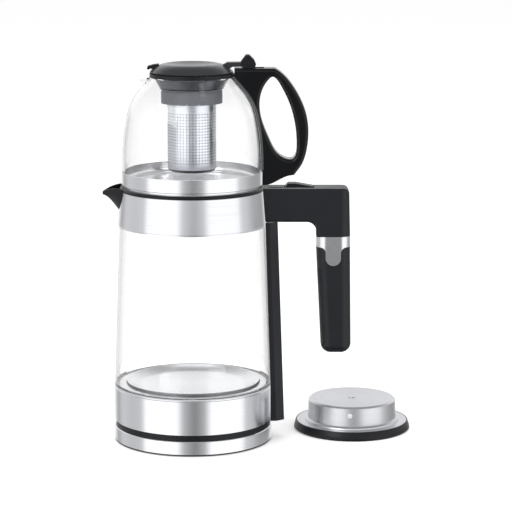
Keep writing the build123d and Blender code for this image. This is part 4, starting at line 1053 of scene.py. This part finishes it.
kettleJug = newPiece("kettleJug", turnedBuild(jug), "kettleGlass", "kettle")
kettleJug.data.set_sharp_from_angle(angle=math.radians(jug["sharpOver"]))
kettleJug.visible_shadow = False
kettleJug.visible_diffuse = False
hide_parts("kettle_glass")
print("kettle jug:", len(kettleJug.data.polygons), "faces")

# Floor pad: white silicone in the ring under the pot's glass floor, which throws light back up through it
floorPad = {
    "segments": 96,
    "outline": [
        (0.0, 242.9),
        (50.0, 242.7),
        (52.0, 242.9),
        (53.2, 243.2),
        (62.20, 243.2),
        (62.20, 242.6),
        (53.4, 242.6),
        (52.2, 242.3),
        (50.2, 242.1),
        (0.0, 242.3),
    ],
    "sharpOver": 40,
}

potFloorPlate = newPiece("potFloorPlate", turnedBuild(floorPad), "pad", "teapot")
potFloorPlate.data.set_sharp_from_angle(angle=math.radians(floorPad["sharpOver"]))
print("pot floor plate:", len(potFloorPlate.data.polygons), "faces")

# Saddle trims: the flared lips of the handle where it hugs the pot, one on each cheek
saddle = {
    "cheek": 10.0,  # half of the handle's width
    "foot": 257.0,
    "side": (64.8, 265.75),  # this and the next three are points on the pot's own outline
    "shoulder": (60.3, 307.0),
    "crown": (48.6, 330.6),
    "neck": (38.6, 342.8),
    "section": [(0.35, -0.5), (0.35, 1.3), (0.9, 1.5), (1.6, 1.1), (2.3, 0.2), (2.3, -0.5)],
    "arcSteps": 15,
    "sharpOver": 50,
}


def arcPoints(start, startTurn, end, steps):
    # points on an arc that leaves start square to the given turn of its normal, and reaches end
    across = end[0] - start[0]
    rise = end[1] - start[1]
    inward = (-math.cos(startTurn), -math.sin(startTurn))
    radius = (across**2 + rise**2) / (2 * (across * inward[0] + rise * inward[1]))
    centre = (start[0] + radius * inward[0], start[1] + radius * inward[1])
    endTurn = math.atan2(end[1] - centre[1], end[0] - centre[0])
    points = []
    for k in range(steps + 1):
        turn = startTurn + (endTurn - startTurn) * k / steps
        points.append((centre[0] + radius * math.cos(turn), centre[1] + radius * math.sin(turn), turn))
    return points


sideArc = arcPoints(saddle["side"], 0.0, saddle["shoulder"], saddle["arcSteps"])
domeArc = arcPoints(saddle["shoulder"], sideArc[-1][2], saddle["crown"], saddle["arcSteps"])
potLine = [(saddle["side"][0], saddle["foot"], 0.0)] + sideArc + domeArc[1:]
potLine.append((*saddle["neck"], domeArc[-1][2]))

build = bmesh.new()
for cheekSide in (-1, 1):
    loops = []
    for reach, height, turn in potLine:
        loop = []
        for away, proud in saddle["section"]:
            out = reach + away * math.cos(turn)
            level = height + away * math.sin(turn)
            y = saddle["cheek"] + proud
            x = math.sqrt(out**2 - y**2)
            loop.append(build.verts.new((x * mm, cheekSide * y * mm, level * mm)))
        loops.append(loop)
    count = len(saddle["section"])
    for first, second in zip(loops, loops[1:]):
        for k in range(count):
            build.faces.new([first[k], first[(k + 1) % count], second[(k + 1) % count], second[k]])
    build.faces.new(loops[0])
    build.faces.new(loops[-1])
closeSkin(build)
saddleTrims = newPiece("saddleTrims", build, "trim", "teapot")
saddleTrims.data.set_sharp_from_angle(angle=math.radians(saddle["sharpOver"]))
print("saddle trims:", len(saddleTrims.data.polygons), "faces")

# Spot welds that hold the nub carrier: four punch marks round a bright middle on the lid's drum
welds = {
    "centre": lidCentre,
    "top": 29.7,
    "circle": 3.0,
    "radius": 0.75,
    "height": 0.16,
    "count": 4,
    "start": 15.0,
    "sides": 16,
    "rings": [(1.0, 0.0), (0.92, 0.6), (0.6, 1.0)],  # shares of the radius and of the height
    "dimple": 0.2,
}

build = bmesh.new()
sides = welds["sides"]
for k in range(welds["count"]):
    turn = math.radians(welds["start"] + 360 * k / welds["count"])
    x = welds["centre"][0] + welds["circle"] * math.cos(turn)
    y = welds["centre"][1] + welds["circle"] * math.sin(turn)
    rims = []
    for radiusShare, heightShare in welds["rings"]:
        radius = welds["radius"] * radiusShare
        level = (welds["top"] + welds["height"] * heightShare) * mm
        rim = []
        for j in range(sides):
            along = 2 * math.pi * j / sides
            rim.append(
                build.verts.new(
                    ((x + radius * math.cos(along)) * mm, (y + radius * math.sin(along)) * mm, level)
                )
            )
        rims.append(rim)
    for first, second in zip(rims, rims[1:]):
        for j in range(sides):
            build.faces.new([first[j], first[(j + 1) % sides], second[(j + 1) % sides], second[j]])
    dimple = build.verts.new((x * mm, y * mm, (welds["top"] + welds["dimple"] * welds["height"]) * mm))
    for j in range(sides):
        build.faces.new([rims[-1][j], rims[-1][(j + 1) % sides], dimple])
    build.faces.new(rims[0][::-1])
bmesh.ops.recalc_face_normals(build, faces=build.faces)
spotWelds = newPiece("spotWelds", build, "weldBurnAndShade", "kettle_lid")
print("spot welds:", len(spotWelds.data.polygons), "faces")
